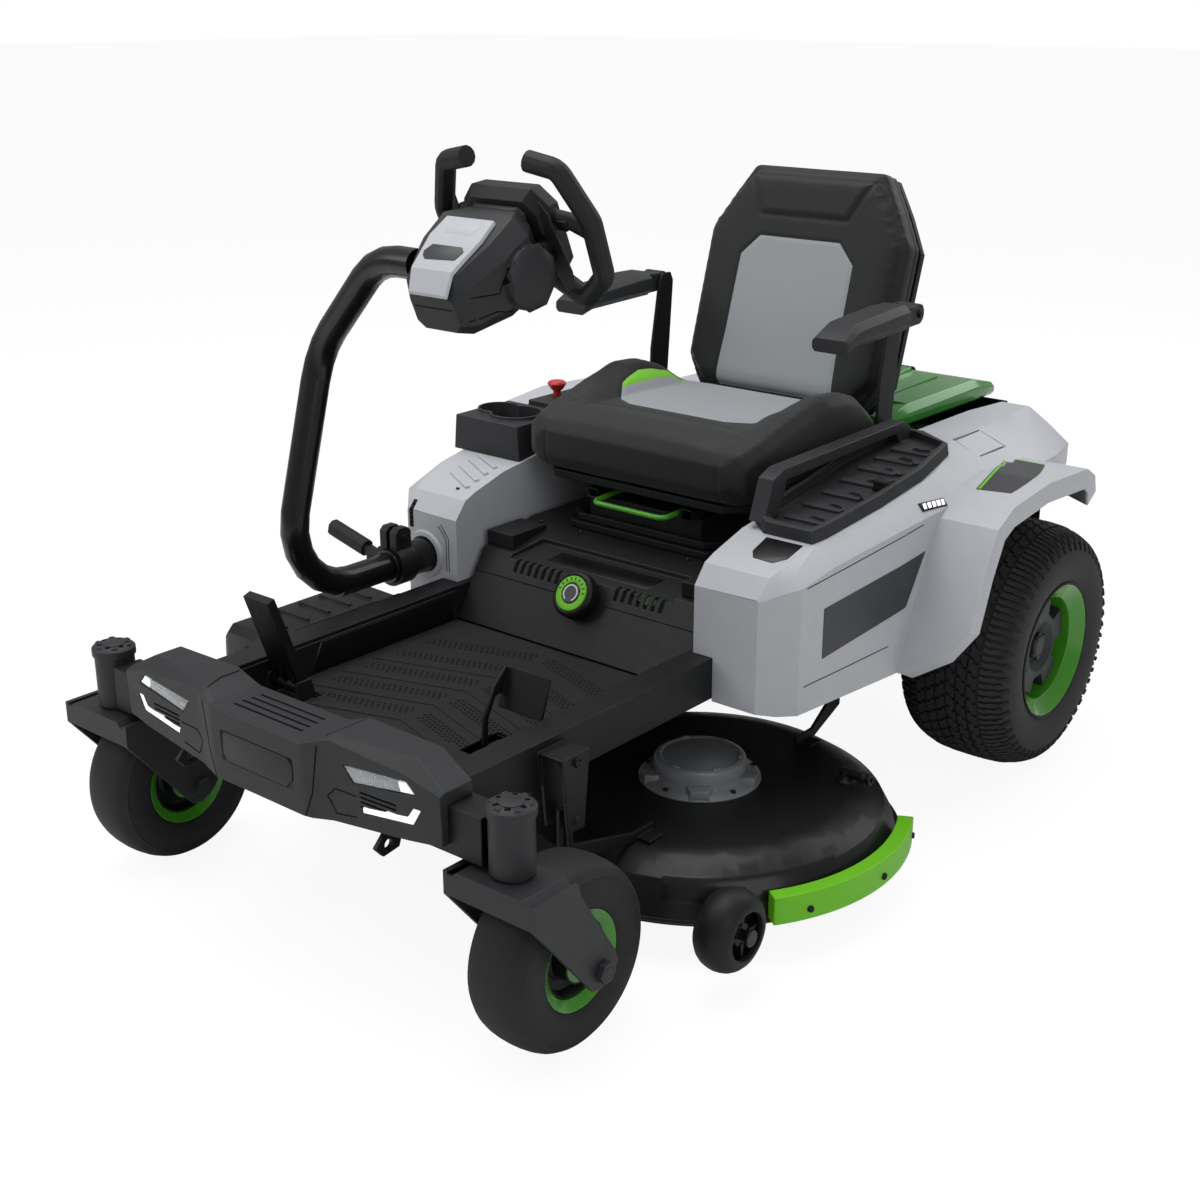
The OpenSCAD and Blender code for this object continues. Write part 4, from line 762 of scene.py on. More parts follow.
@dataclass
class CasterTyre:
    """Front tyre: a smooth casing with a moulding line on each shoulder."""

    side: Side
    bead: float = 62.3

    def build(self) -> None:
        """Turn the tyre."""
        word = self.side.word
        centre, r, w = wheel_size(f"front_tyre_{word}")
        outer = [(r, 0), (r - 0.6, 14), (r - 2.2, 26), (r - 5, 36), (r - 10, 44), (r - 16, w - 5),
                 (r - 17.5, w - 3), (r - 19, w - 3.6), (r - 28, w - 0.6), (r - 40, w), (r - 54, w - 2),
                 (self.bead + 14, w - 6),
                 (self.bead + 10, w - 9), (self.bead + 9, w - 13), (self.bead + 3, w - 19), (self.bead, w - 22)]
        inner = [(r - 10, 0), (r - 12, 28), (r - 24, w - 14), (self.bead + 20, w - 16), (self.bead, w - 33)]
        ring = outer + inner[::-1] + [(a, -b) for a, b in inner[1:]] + mirrored(outer[1:])
        bm = bmesh.new()
        turned(bm, ring, centre, "X", 96)
        publish(bm, f"caster_tyre_{word}", CASTER_RUBBER, f"front_wheel_{word}", (f"front_tyre_{word}",), 40)


@dataclass
class GaugeRoller:
    """Deck roller: a ball-shaped ring on a ribbed web."""

    side: Side
    ribs: int = 4

    def build(self) -> None:
        """Turn the roller and add its ribs."""
        word = self.side.word
        centre, r, w = wheel_size(f"gauge_roller_{word}")
        face = [(r, 0), (r - 0.8, 8), (r - 3, 16), (r - 7, 23), (r - 13, 29), (r - 20, w - 0.6), (r - 24, w),
                (r - 26, w - 1.5), (r - 27, w - 7), (r - 19, 12), (22, 7), (18, 14), (17, w - 12), (8.1, w - 12)]
        ring = face + [(a, -b) for a, b in face[::-1] if b > 0]
        bm = bmesh.new()
        turned(bm, ring, centre, "X", 64)
        for i in range(self.ribs):
            rib = box(bm, (centre.x - w + 10, centre.y - 3, centre.z + 14),
                      (centre.x + w - 10, centre.y + 3, centre.z + r - 26))
            swing(bm, rib, centre, FULL_TURN * i / self.ribs, "X")
        publish(bm, f"deck_roller_{word}", BLACK_PLASTIC, f"roller_{word}", (f"gauge_roller_{word}",), 40)


@dataclass
class HubCover:
    """Cover of a rear wheel's hub: a wide ring with five openings, a funnel and a cap."""

    side: Side
    openings: int = 5
    window: float = 15.0         # half of an opening's angle, in degrees
    face: float = 31.0           # depth of the ring, in millimetres
    reach: float = 92.0          # radius of the ring, in millimetres

    def ring(self, bm: bmesh.types.BMesh, centre: Vector, back: float) -> None:
        """The ring: broad spokes that run out to the rim between the openings.

        Args:
            bm: Mesh that receives the ring.
            centre: Middle of the wheel.
            back: Distance of the cover's back from the middle.
        """
        s, f, reach = self.side.value, self.face, self.reach
        per, span = 16, FULL_TURN / self.openings
        rings = []
        for i in range(self.openings * per):
            turn = span * i / per
            off = abs((turn / span) % 1.0 - 0.5) * span
            outer = reach * 0.69 if off < math.radians(self.window) else reach
            out = Vector((0, math.sin(turn), math.cos(turn)))
            profile = ((reach * 0.22, 1), (outer - 2, 1), (outer, 4), (outer, f - 4), (outer - 4, f),
                       (reach * 0.52, f + 1.5), (reach * 0.49, f), (reach * 0.31, f - 14), (reach * 0.22, f - 14))
            rings.append([bm.verts.new(centre + out * r + Vector((s * (back + h), 0, 0))) for r, h in profile])
        for a, b in zip(rings, rings[1:] + rings[:1]):
            for j in range(len(a)):
                bm.faces.new((a[j], a[(j + 1) % len(a)], b[(j + 1) % len(a)], b[j]))

    def build(self) -> None:
        """Make the cover and its cap."""
        word, s = self.side.word, self.side.value
        out = Vector((s, 0, 0))
        centre = wheel_size(f"rear_tyre_{word}")[0]
        low, high = extent(f"hub_cover_{word}")
        back = min(abs(low.x - centre.x), abs(high.x - centre.x))
        depth = self.face + 1.0
        reach = self.reach
        bm = bmesh.new()
        self.ring(bm, centre, back)
        bevelled(bm, 0.8, 40, 1)
        for i in range(self.openings):
            lug = screw(bm, centre + Vector((s * (back + 7), 0, reach * 0.82)), out, 7.0)
            swing(bm, lug, centre, -FULL_TURN * (i + 0.5) / self.openings)
        cap = ((0, 4), (reach * 0.25, 4), (reach * 0.25, depth - 4), (reach * 0.23, depth - 1),
               (reach * 0.20, depth), (reach * 0.18, depth - 1.5), (0, depth - 1.5))
        turned(bm, [(r, s * h) for r, h in cap], centre + out * back, "X", 48, False)
        for i in range(6):
            start, end = back + depth - 11, back + depth - 3
            tab = box(bm, centre + Vector((min(s * start, s * end), -5, reach * 0.20)),
                      centre + Vector((max(s * start, s * end), 5, reach * 0.285)))
            swing(bm, tab, centre, FULL_TURN * i / 6, "X")
        publish(bm, f"hub_trim_{word}", HUB_PLASTIC, f"rear_wheel_{word}", (f"hub_cover_{word}",), 30)


@dataclass
class FrontHub:
    """Dark inserts on both faces of a front wheel, inside the green lips of its rim."""

    side: Side

    def build(self) -> None:
        """Make the two inserts."""
        word = self.side.word
        centre = wheel_size(f"front_tyre_{word}")[0]
        half = wheel_size(f"front_rim_{word}")[2]
        bm = bmesh.new()
        for s in (1, -1):
            cup = ((30.4, 6.2), (55.4, 6.2), (55.6, half - 15), (57.4, half - 12), (55.0, half - 11),
                   (53.0, half - 14), (50.0, half - 26), (38.0, half - 30), (32.4, half - 26),
                   (32.4, half - 0.6), (30.4, half - 0.6))
            turned(bm, [(r, s * h) for r, h in cup], centre, "X", 64)
        publish(bm, f"front_hub_insert_{word}", BLACK_PLASTIC, f"front_wheel_{word}", (), 40)


# ---------- surfaces that details lie on ----------

class Skin:
    """Surface of one construction node, for placing plates and lines on it."""

    def __init__(self, node: str) -> None:
        """Read the node's surface.

        Args:
            node: Name of the construction node.
        """
        bm = Refiner().solid(node)
        bmesh.ops.triangulate(bm, faces=bm.faces)
        self.node = node
        self.tree = BVHTree.FromBMesh(bm)
        self.body = frame["nodes"][node]["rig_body"]
        bm.free()

    def touch(self, start: Point, way: Point, lift: float = 0.0) -> Vector:
        """First point of the surface on a line.

        Args:
            start: Start of the line.
            way: Its direction.
            lift: Distance to stay in front of the surface.

        Returns:
            The point.

        Raises:
            ValueError: The line misses the surface.
        """
        way = Vector(way).normalized()
        spot = self.tree.ray_cast(Vector(start), way)[0]
        if spot is None:
            seen = f"from {[round(c) for c in start]} along {[round(c, 2) for c in way]}"
            raise ValueError(f"no surface of {self.node} {seen}")
        return spot - way * lift

    def plate(self, bm: bmesh.types.BMesh, outline: Iterable[Point], way: Point, thick: float = 1.2) -> list:
        """A thin plate on the surface, through an outline seen along a direction.

        Args:
            bm: Mesh that receives the plate.
            outline: Corners in front of the surface.
            way: Direction from the corners to the surface.
            thick: How far the plate stands proud.

        Returns:
            The plate's vertices.
        """
        foot = [self.touch(p, way, -0.6) for p in outline]
        return prism(bm, foot, -Vector(way).normalized() * (thick + 0.6), 0.985)

    def sheet(self, bm: bmesh.types.BMesh, near: Sequence[Point], far: Sequence[Point], way: Point,
              thick: float = 0.8, across: int = 8) -> None:
        """A thin sheet between two equal rows of points, laid on the surface.

        Args:
            bm: Mesh that receives the sheet.
            near: Points of one edge, in front of the surface.
            far: Points of the other edge.
            way: Direction from the points to the surface.
            thick: How far the sheet stands proud.
            across: Pieces from edge to edge.
        """
        rows = []
        for a, b in zip(near, far):
            spots = [Vector(a).lerp(Vector(b), i / across) for i in range(across + 1)]
            top = [self.touch(p, way, thick) for p in spots]
            rows.append([self.touch(p, way, -0.8) for p in spots] + top[::-1])
        loft(bm, rows)

    def line(self, bm: bmesh.types.BMesh, path: Sequence[Point], way: Point, width: float = 2.0,
             lift: float = 0.35, steps: int = 6) -> None:
        """A narrow strip along the surface, such as painted shade along the gap between two mouldings.

        Args:
            bm: Mesh that receives the strip.
            path: Corners of the strip's middle line, in front of the surface.
            way: Direction from the corners to the surface.
            width: Width of the strip.
            lift: How far the strip stands proud.
            steps: Pieces of each straight stretch.
        """
        way = Vector(way).normalized()
        spots = [Vector(a).lerp(Vector(b), i / steps) for a, b in zip(path, path[1:]) for i in range(steps)]
        spots.append(Vector(path[-1]))
        rows = []
        for i, spot in enumerate(spots):
            along = (spots[min(i + 1, len(spots) - 1)] - spots[max(i - 1, 0)]).normalized()
            side = along.cross(way).normalized() * width / 2
            corners = ((-1, -0.8), (1, -0.8), (1, lift), (-1, lift))
            rows.append([self.touch(spot + side * s, way, h) for s, h in corners])
        loft(bm, rows)


def walk_value(table: Sequence[tuple[float, float]], at: float) -> float:
    """Value between the points of a table of places and values."""
    for (a, low), (b, high) in zip(table, table[1:]):
        if at <= b:
            return low + (high - low) * max(0.0, (at - a) / (b - a))
    return table[-1][1]


def loft(bm: bmesh.types.BMesh, rows: Sequence[Sequence[Vector]]) -> list:
    """A closed bar through equal rings of points.

    Args:
        bm: Mesh that receives the bar.
        rows: Rings of points, one for each section.

    Returns:
        The new vertices.
    """
    rings = [[bm.verts.new(p) for p in row] for row in rows]
    count = len(rings[0])
    for a, b in zip(rings, rings[1:]):
        for j in range(count):
            bm.faces.new((a[j], a[(j + 1) % count], b[(j + 1) % count], b[j]))
    bm.faces.new(rings[0][::-1])
    bm.faces.new(rings[-1])
    return [v for ring in rings for v in ring]


def cut_corners(x0: float, y0: float, x1: float, y1: float, cut: float) -> list[tuple[float, float]]:
    """A rectangle with cut corners, counter-clockwise."""
    return [(x0 + cut, y0), (x1 - cut, y0), (x1, y0 + cut), (x1, y1 - cut),
            (x1 - cut, y1), (x0 + cut, y1), (x0, y1 - cut), (x0, y0 + cut)]


def bevelled_plate(name: str, skin: Skin, outline: Iterable[Point], way: Point, finish: Finish,
                   thick: float = 1.2, round_off: float = 0.4) -> None:
    """Publish one plate that lies on a surface.

    Args:
        name: Name of the piece.
        skin: Surface under it.
        outline: Corners in front of the surface.
        way: Direction from the corners to the surface.
        finish: Its finish.
        thick: How far it stands proud.
        round_off: Width of its rounded edges.
    """
    bm = bmesh.new()
    skin.plate(bm, outline, way, thick)
    bevelled(bm, round_off, 40, 2)
    publish(bm, name, finish, skin.body)


# ---------- front end ----------

@dataclass
class FrontEnd:
    """Lamps, name plate and painted shade along each panel gap of the bumper, and the caps of the swivels."""

    rail_top: float = 369.8
    lens_outline: tuple = ((168, 17), (184, -6), (298, 8), (282, 25))
    bar_outline: tuple = ((200, -46), (290, -36), (304, -12), (292, -12), (282, -27), (200, -38))
    setbacks: tuple = ((94, 0), (108, 3), (143, 12), (282, 20), (338, 27))

    def __post_init__(self) -> None:
        """Read the surfaces."""
        self.cover = Skin("bumper_cover")
        self.front = extent("bumper_cover")[0].y

    def seen(self, points: Iterable[tuple[float, float]], side: Side) -> list[Point]:
        """Points of the front view, mirrored to a side, in front of the bumper.

        Args:
            points: Pairs of distance from the middle and height over the rails.
            side: Side of the machine.

        Returns:
            The points.
        """
        return [(side.value * x, self.front - 20, self.rail_top + z) for x, z in points]

    def inward(self, points: Sequence[tuple[float, float]], by: float) -> list[tuple[float, float]]:
        """An outline drawn in towards its middle by about a distance."""
        mx, mz = (sum(p[i] for p in points) / len(points) for i in (0, 1))
        return [(x - math.copysign(min(by, abs(x - mx)), x - mx),
                 z - math.copysign(min(by * 0.7, abs(z - mz)), z - mz)) for x, z in points]

    def face(self, points: Iterable[tuple[float, float]], side: Side, deep: float) -> list[Vector]:
        """Points at a depth behind the bumper's sloping face.

        Args:
            points: Pairs of distance from the middle and height over the rails.
            side: Side of the machine.
            deep: Depth behind the face.

        Returns:
            The points in machine millimetres.
        """
        spots = []
        for x, z in points:
            setback = walk_value(self.setbacks, x)
            tilt = 2.0 * (38.0 - z) / 108.0
            spots.append(Vector((side.value * x, self.front + setback + tilt + deep, self.rail_top + z)))
        return spots

    def slab(self, bm: bmesh.types.BMesh, points: Sequence[tuple[float, float]], side: Side, deep: float,
             thick: float) -> list:
        """A plate that follows the bumper's face, from a depth to the front of it."""
        return prism(bm, self.face(points, side, deep), Vector((0, -thick, 0)), 1.0)

    def headlamp(self, side: Side) -> None:
        """A lamp: reflector, ribs, lens and the white end of its light guide."""
        word, outer = side.word, self.lens_outline
        bm = bmesh.new()
        self.slab(bm, outer, side, 12.0, 7.0)
        bevelled(bm, 0.5, 40)
        publish(bm, f"lamp_reflector_{word}", REFLECTOR, "chassis", ("headlights",))
        bm = bmesh.new()
        for i in range(16):
            x = 194 + i * 4.6
            z = -4 + (x - 184) * 0.123
            rib = ((x, z + 1.5), (x + 2.4, z + 1.8), (x + 1.4, z + 9), (x - 1.0, z + 9))
            self.slab(bm, rib, side, 5.5, 1.6)
        for i in range(3):
            x = 196 + i * 26
            z = 10 + (x - 184) * 0.07
            self.slab(bm, ((x, z - 2), (x + 4, z - 2), (x + 4, z + 2), (x, z + 2)), side, 5.5, 2.0)
        publish(bm, f"lamp_ribs_{word}", LAMP_SILVER, "chassis")
        bm = bmesh.new()
        self.slab(bm, self.inward(outer, 1.5), side, 2.6, 1.4)
        bevelled(bm, 0.5, 40)
        publish(bm, f"lamp_lens_{word}", LENS_CLEAR, "chassis")
        bm = bmesh.new()
        self.slab(bm, ((272, 7.5), (293, 10), (281, 22), (268, 20.5)), side, 5.2, 4.2)
        bevelled(bm, 0.5, 40)
        publish(bm, f"lamp_guide_{word}", LIGHT_BAR, "chassis")

    def running_light(self, side: Side) -> None:
        """The bent white light under a headlamp."""
        bm = bmesh.new()
        self.slab(bm, self.bar_outline, side, 12.0, 11.0)
        bevelled(bm, 0.6, 40)
        publish(bm, f"running_light_{side.word}", LIGHT_BAR, "chassis")

    def gaps(self) -> None:
        """Painted shade: near-black strips along the gap lines between the middle, the lamp panels and the lower
        edge.
        """
        bm = bmesh.new()
        way = (0, 1, 0)
        for side in Side:
            for path in (((98, -78), (112, -40), (124, 34)),
                         ((150, -62), (136, -38), (150, -24), (190, -24)),
                         ((150, -62), (188, -56))):
                self.cover.line(bm, self.seen(path, side), way, 1.8)
            edge = ((128, 22), (136, 52), (136, 88))
            top = [(side.value * x, self.front + y, self.rail_top + 90) for x, y in edge]
            self.cover.line(bm, top, (0, 0, -1), 1.8)
        publish(bm, "bumper_gaps", GAP_SHADE_BLACK, "chassis")

    def plate(self) -> None:
        """The bare plate in the middle of the bumper, with cut corners."""
        outline = [(-76, -34), (-66, -45), (62, -45), (76, -30), (76, -8), (66, 1), (-70, 1), (-76, -6)]
        bm = bmesh.new()
        prism(bm, [(x, self.front + 4.2, self.rail_top + z) for x, z in outline], Vector((0, -3.2, 0)), 0.985)
        bevelled(bm, 0.7, 40)
        publish(bm, "bumper_name_plate", DARK_PLASTIC, "chassis")

    def swivel_caps(self) -> None:
        """Top plates with six notches on the dust caps of the swivels."""
        for side in Side:
            word = side.word
            low, high = extent("swivel_tubes")
            across = wheel_size(f"front_tyre_{word}")[0].x
            centre = Vector((across, low.y + (high.y - low.y) / 2, high.z))
            bm = bmesh.new()
            turned(bm, [(0, -1.5), (17, -1.5), (18, 0.6), (16.5, 1.4), (0, 1.4)], centre, "Z", 48, False)
            for i in range(6):
                lug = box(bm, centre + Vector((-4.5, 24.5, -3.2)), centre + Vector((4.5, 29.0, 0.4)))
                swing(bm, lug, centre, FULL_TURN * i / 6, "Z")
            bevelled(bm, 0.5, 40)
            publish(bm, f"swivel_cap_{word}", FORK_PAINT, "chassis")

    def build(self) -> None:
        """Make the front end's details."""
        for side in Side:
            self.headlamp(side)
            self.running_light(side)
        self.gaps()
        self.plate()
        self.swivel_caps()


# ---------- deck ----------

@dataclass
class DeckTop:
    """Blade motors and the marks and screws on the deck."""

    cap: float = 76.0
    flange: float = 101.0
    notches: int = 6
    spindle: tuple[float, float] = (267.0, -697.0)

    def motor(self, side: Side) -> None:
        """A blade motor: faceted flange, domed cap with notches, spindle and nut."""
        word, s = side.word, side.value
        low, high = extent("deck_motors")
        lag = 0.5 * (s < 0)
        centre = Vector((s * (high.x - self.flange), (low.y + high.y) / 2, high.z - 45))
        bm = bmesh.new()
        c, f = self.cap, self.flange
        turned(bm, [(0, 0), (f, 0), (f, 3), (f - 6, 8), (c + 8, 10), (c + 4, 12), (c + 4, 15.5), (c, 16),
                    (c, 34), (c - 2.5, 38), (c - 9, 40.5), (c - 12, 39.5), (c - 13, 38), (c - 26, 40.5),
                    (c - 50, 43), (0, 43.6)], centre, "Z", 96, False)
        for i in range(5):
            corners = ((-26, c - 3, 1), (26, c - 3, 1), (17, f - 1, 1), (-17, f - 1, 1))
            foot = prism(bm, [centre + Vector(p) for p in corners], Vector((0, 0, 17)), 0.8)
            swing(bm, foot, centre, FULL_TURN * (i + lag) / 5, "Z")
        for i in range(self.notches):
            tab = box(bm, centre + Vector((-7, c - 13, 36)), centre + Vector((7, c - 7.5, 42.4)))
            swing(bm, tab, centre, FULL_TURN * i / self.notches, "Z")
        bevelled(bm, 0.8, 35)
        end = -(centre.z - low.z)
        turned(bm, [(0, 12), (17, 12), (17, end + 14), (8, end + 12), (8, end + 8), (15, end + 8), (15, end),
                    (0, end)], centre, "Z", 32, False)
        publish(bm, f"blade_motor_{word}", MOTOR_GREY, "deck", ("deck_motors",))
        bm = bmesh.new()
        for i in range(5):
            for later, at in ((0.0, (0, f - 11, 14.5)), (0.5, (0, f - 9, 8))):
                turn = Matrix.Rotation(FULL_TURN * (i + later + lag) / 5, 3, "Z")
                screw(bm, centre + turn @ Vector(at), Vector((0, 0, 1)), 5.0)
        publish(bm, f"motor_screws_{word}", BOLT_STEEL, "deck")

    def build(self) -> None:
        """Make the deck's details."""
        for side in Side:
            self.motor(side)
        sx, sy = self.spindle
        guard = Skin("deck_guard")
        bm = bmesh.new()
        for x, y in ((553, -832), (597, -693), (560, -560)):
            way = Vector((x - sx, y - sy, 0)).normalized()
            at = guard.touch((sx + way.x * 460, sy + way.y * 460, 84), -way)
            screw(bm, at, way, 6.0)
        publish(bm, "guard_screws", BOLT_STEEL, "deck")
        shell = Skin("deck_shell")
        turns = [math.radians(-64 + 3 * i) for i in range(19)]
        bm = bmesh.new()
        edges = [[(sx + r * math.cos(a), sy + r * math.sin(a), 250) for a in turns] for r in (318, 296)]
        shell.sheet(bm, edges[0], edges[1], (0, 0, -1), 0.7, 4)
        publish(bm, "deck_plain_plate", PLATE_BLACK, "deck")


# ---------- height dial ----------

@dataclass
class HeightDial:
    """Knob of the cutting height: knurled rim, lime ring face and black centre."""

    lean: float = 32.4
    radius: float = 40.0
    teeth: int = 36
    centre: Point = (0.0, -682.24, 390.8)

    def build(self) -> None:
        """Make the dial on its leaning axis."""
        place = Matrix.Translation(Vector(self.centre)) @ Matrix.Rotation(math.radians(-self.lean), 4, "X")
        r = self.radius
        bm = bmesh.new()
        turned(bm, [(0, -6), (r - 3, -6), (r, -8), (r, -28), (r - 2.5, -31.5), (r - 6, -33), (r - 9, -31),
                    (r - 11, -31), (0, -31)], Vector(), "Y", 72, False)
        for i in range(self.teeth):
            tooth = box(bm, (-1.3, -27, r - 1), (1.3, -9, r + 0.4))
            swing(bm, tooth, Vector(), FULL_TURN * i / self.teeth, "Y")
        bevelled(bm, 0.5, 40)
        turned(bm, [(0, -4), (8, -4), (8, 20), (7, 22), (0, 22)], Vector(), "Y", 24, False)
        bm.transform(place)
        publish(bm, "height_dial_knob", BLACK_PLASTIC, "height_dial", ("dial_knob",))
        bm = bmesh.new()
        turned(bm, [(19, -30.5), (r - 9, -30.5), (r - 9.5, -33.2), (r - 11, -33.6), (20, -34.2), (19, -33.8)],
               Vector(), "Y", 72)
        bm.transform(place)
        publish(bm, "height_dial_ring", LIME_PLASTIC, "height_dial")
        bm = bmesh.new()
        turned(bm, [(0, -31), (18.6, -31), (18.6, -33), (17, -34.6), (0, -34.6)], Vector(), "Y", 48, False)
        for i in range(9):
            notch = box(bm, (-0.9, -34.7, 23), (0.9, -33.9, 28))
            swing(bm, notch, Vector(), math.radians(-80 + 20 * i), "Y")
        bm.transform(place)
        publish(bm, "height_dial_centre", PLATE_BLACK, "height_dial")
        bm = bmesh.new()
        rows = []
        for i in range(21):
            a = math.radians(-150 + 15 * i)
            out = Vector((math.sin(a), 0, math.cos(a)))
            corners = ((12.5, -34.3), (15, -34.3), (15, -35.0), (12.5, -35.0))
            rows.append([out * q + Vector((0, h, 0)) for q, h in corners])
        loft(bm, rows)
        bm.transform(place)
        publish(bm, "height_dial_scale", MARK_WHITE, "height_dial")


# ---------- pods ----------

@dataclass
class Pods:
    """Plates, lights, ribs and screws of the two side pods and the tray."""

    sleeve: Point = (-340.0, -716.0, 407.8)

    def __post_init__(self) -> None:
        """Read the pods' surfaces."""
        self.left = Skin("cowl_left")
        self.right = Skin("cowl_right")
        self.tray = Skin("tray_left")

    def side_plate(self) -> None:
        """Bare dark plate on the left pod's side."""
        bm, steps = bmesh.new(), 24
        share = [i / steps for i in range(steps + 1)]
        self.left.sheet(bm, [(620, -612 + 214 * t, 372 + 32 * t) for t in share],
                        [(620, -612 + 262 * t, 456 + 34 * t) for t in share], (-1, 0, 0))
        publish(bm, "pod_side_plate", PLATE_GREY, self.left.body)

    def light_strip(self) -> None:
        """Black housing with five slanted lights under the tray's edge."""
        a, b = Vector((440, -351, 553)), Vector((458, -286, 557))
        skin, way = self.left, Vector((-0.75, 0.1, -0.65)).normalized()
        along = (b - a).normalized()
        up = along.cross(way).normalized()
        if up.z < 0:
            up = -up
        mid = (a + b) / 2 - way * 60
        size = (b - a).length / 2
        housing = [mid + along * u + up * v for u, v in ((-size, -8), (size, -8), (size, 8), (-size, 8))]
        bevelled_plate("light_strip_housing", skin, housing, way, PLATE_BLACK, 2.0)
        bm = bmesh.new()
        for i in range(5):
            u = -size + 6 + i * (2 * size - 12) / 4.6
            cell = [(u, -5), (u + 7, -5), (u + 9.5, 5), (u + 2.5, 5)]
            skin.plate(bm, [mid + along * p + up * q for p, q in cell], way, 2.8)
        bevelled(bm, 0.4, 40)
        publish(bm, "light_strip_lights", LIGHT_BAR, skin.body)

    def fender_plate(self) -> None:
        """Dark plate with a lime edge on the rear slope of the left pod."""
        down = Vector((-0.55, 0.1, -0.83)).normalized()
        bm, steps = bmesh.new(), 20
        inner, outer = [], []
        for i in range(steps + 1):
            t = i / steps
            bulge = Vector((12, 0, 4)) * math.sin(math.pi * t)
            inner.append(Vector((472, -218, 556)).lerp(Vector((444, -14, 592)), t) - down * 120)
            outer.append(Vector((528, -206, 552)).lerp(Vector((512, -14, 580)), t) + bulge - down * 120)
        self.left.sheet(bm, inner, outer, down)
        publish(bm, "fender_plate", PLATE_GREY, self.left.body)
        bm = bmesh.new()
        path = [Vector((476, -214, 556)), Vector((448, -16, 592)), Vector((508, -16, 581))]
        self.left.line(bm, [p - down * 120 for p in path], down, 4.0, 1.3, 16)
        publish(bm, "fender_plate_edge", LIME_PLASTIC, self.left.body)

    def name_badge(self) -> None:
        """Bare black badge with cut corners on the left pod's top."""
        outline = [(318, -640), (330, -656), (368, -658), (384, -640), (386, -599), (316, -599)]
        above = [(x, y, 700) for x, y in outline]
        bevelled_plate("pod_top_badge", self.left, above, (0, 0, -1), PLATE_BLACK, 1.0)

    def gaps(self) -> None:
        """Painted shade: near-black strips along the panel gap lines of the skirts, the rail clips and the
        charging door's frame, and one filling the slot.
        """
        bm = bmesh.new()
        for path in (((-655, 336), (-560, 340), (-440, 346)),
                     ((-655, 500), (-560, 512), (-440, 528), (-360, 538))):
            self.left.line(bm, [(620, y, z) for y, z in path], (-1, 0, 0), 1.6, 0.3, 8)
        publish(bm, "left_pod_gaps", GAP_SHADE_BLACK, self.left.body)
        bm = bmesh.new()
        for path in (((-282, 384), (-282, 446), (-300, 470)), ((-288, 384), (-288, 444), (-306, 466))):
            self.right.line(bm, [(x, -800, z) for x, z in path], (0, 1, 0), 1.6, 0.3, 5)
        publish(bm, "right_pod_gaps", GAP_SHADE_BLACK, self.right.body)
        bm = bmesh.new()
        # Painted shade: a wide near-black strip filling the slot
        self.right.line(bm, [(-374, -800, 452), (-374, -800, 500)], (0, 1, 0), 9.0, 0.6, 6)
        publish(bm, "right_pod_slot", GAP_SHADE_BLACK, self.right.body)
        bm = bmesh.new()
        for i in range(6):
            self.right.line(bm, [(-378, -800, 456 + 8 * i), (-370, -800, 458 + 8 * i)], (0, 1, 0), 2.4, 1.4, 1)
        publish(bm, "right_pod_louvres", BLACK_PLASTIC, self.right.body)

    def right_pod(self) -> None:
        """Slanted ribs and a screw on the right pod's top, and the collar round the sleeve."""
        down = (0, 0, -1)
        bm = bmesh.new()
        for i in range(4):
            y = -650 + i * 24
            self.right.line(bm, [(-285, y - 10, 700), (-356, y + 22, 700)], down, 8.0, 3.6, 5)
        bevelled(bm, 1.0, 35)
        publish(bm, "right_pod_ribs", LIGHT_PLASTIC, self.right.body)
        bm = bmesh.new()
        screw(bm, self.right.touch((-302, -668, 700), down), Vector((0, 0.3, 1)), 4.0)
        publish(bm, "right_pod_screw", BOLT_STEEL, self.right.body)
        bm = bmesh.new()
        turned(bm, [(32.0, 8), (44, 8), (45, 3), (42, -5), (34.5, -6), (32.0, -3)],
               Vector(self.sleeve), "Y", 64)
        publish(bm, "sleeve_collar", LIGHT_PLASTIC, self.right.body)

    def socket_cover(self) -> None:
        """Rubber cover of the charging socket in the tray."""
        spot = self.tray.touch((394, -372, 760), (0, 0, -1))
        bm = bmesh.new()
        base = [spot + Vector(p) for p in ((-16, -14, -2), (16, -14, -2), (18, 12, -2), (-14, 14, -2))]
        prism(bm, base, Vector((0, 0, 17)), 0.86)
        flap = [spot + Vector(p) for p in ((-17, -16, 12), (12, -17, 12), (15, 8, 12), (-14, 10, 12))]
        prism(bm, flap, Vector((0, 0, 6)), 0.94)
        bevelled(bm, 1.4, 35)
        publish(bm, "socket_cover", BLACK_PLASTIC, "chassis")

    def tray_rungs(self) -> None:
        """Bent rungs on the tray's floor."""
        bm = bmesh.new()
        for i in range(7):
            y = -532 + i * 55
            inner, outer = 326, 392 + min(i, 4) * 2 - max(0, i - 4) * 10
            path = [(inner, y + 8, 760), (outer - 14, y - 2, 760), (outer, y + 2, 760)]
            self.tray.line(bm, path, (0, 0, -1), 9.0, 4.5, 4)
        bevelled(bm, 1.2, 35)
        publish(bm, "tray_rungs", TRAY_PLASTIC, "chassis")

    def build(self) -> None:
        """Make the pods' details."""
        for part in (self.side_plate, self.light_strip, self.fender_plate, self.name_badge, self.gaps,
                     self.right_pod, self.socket_cover, self.tray_rungs):
            part()


# ---------- chassis details ----------

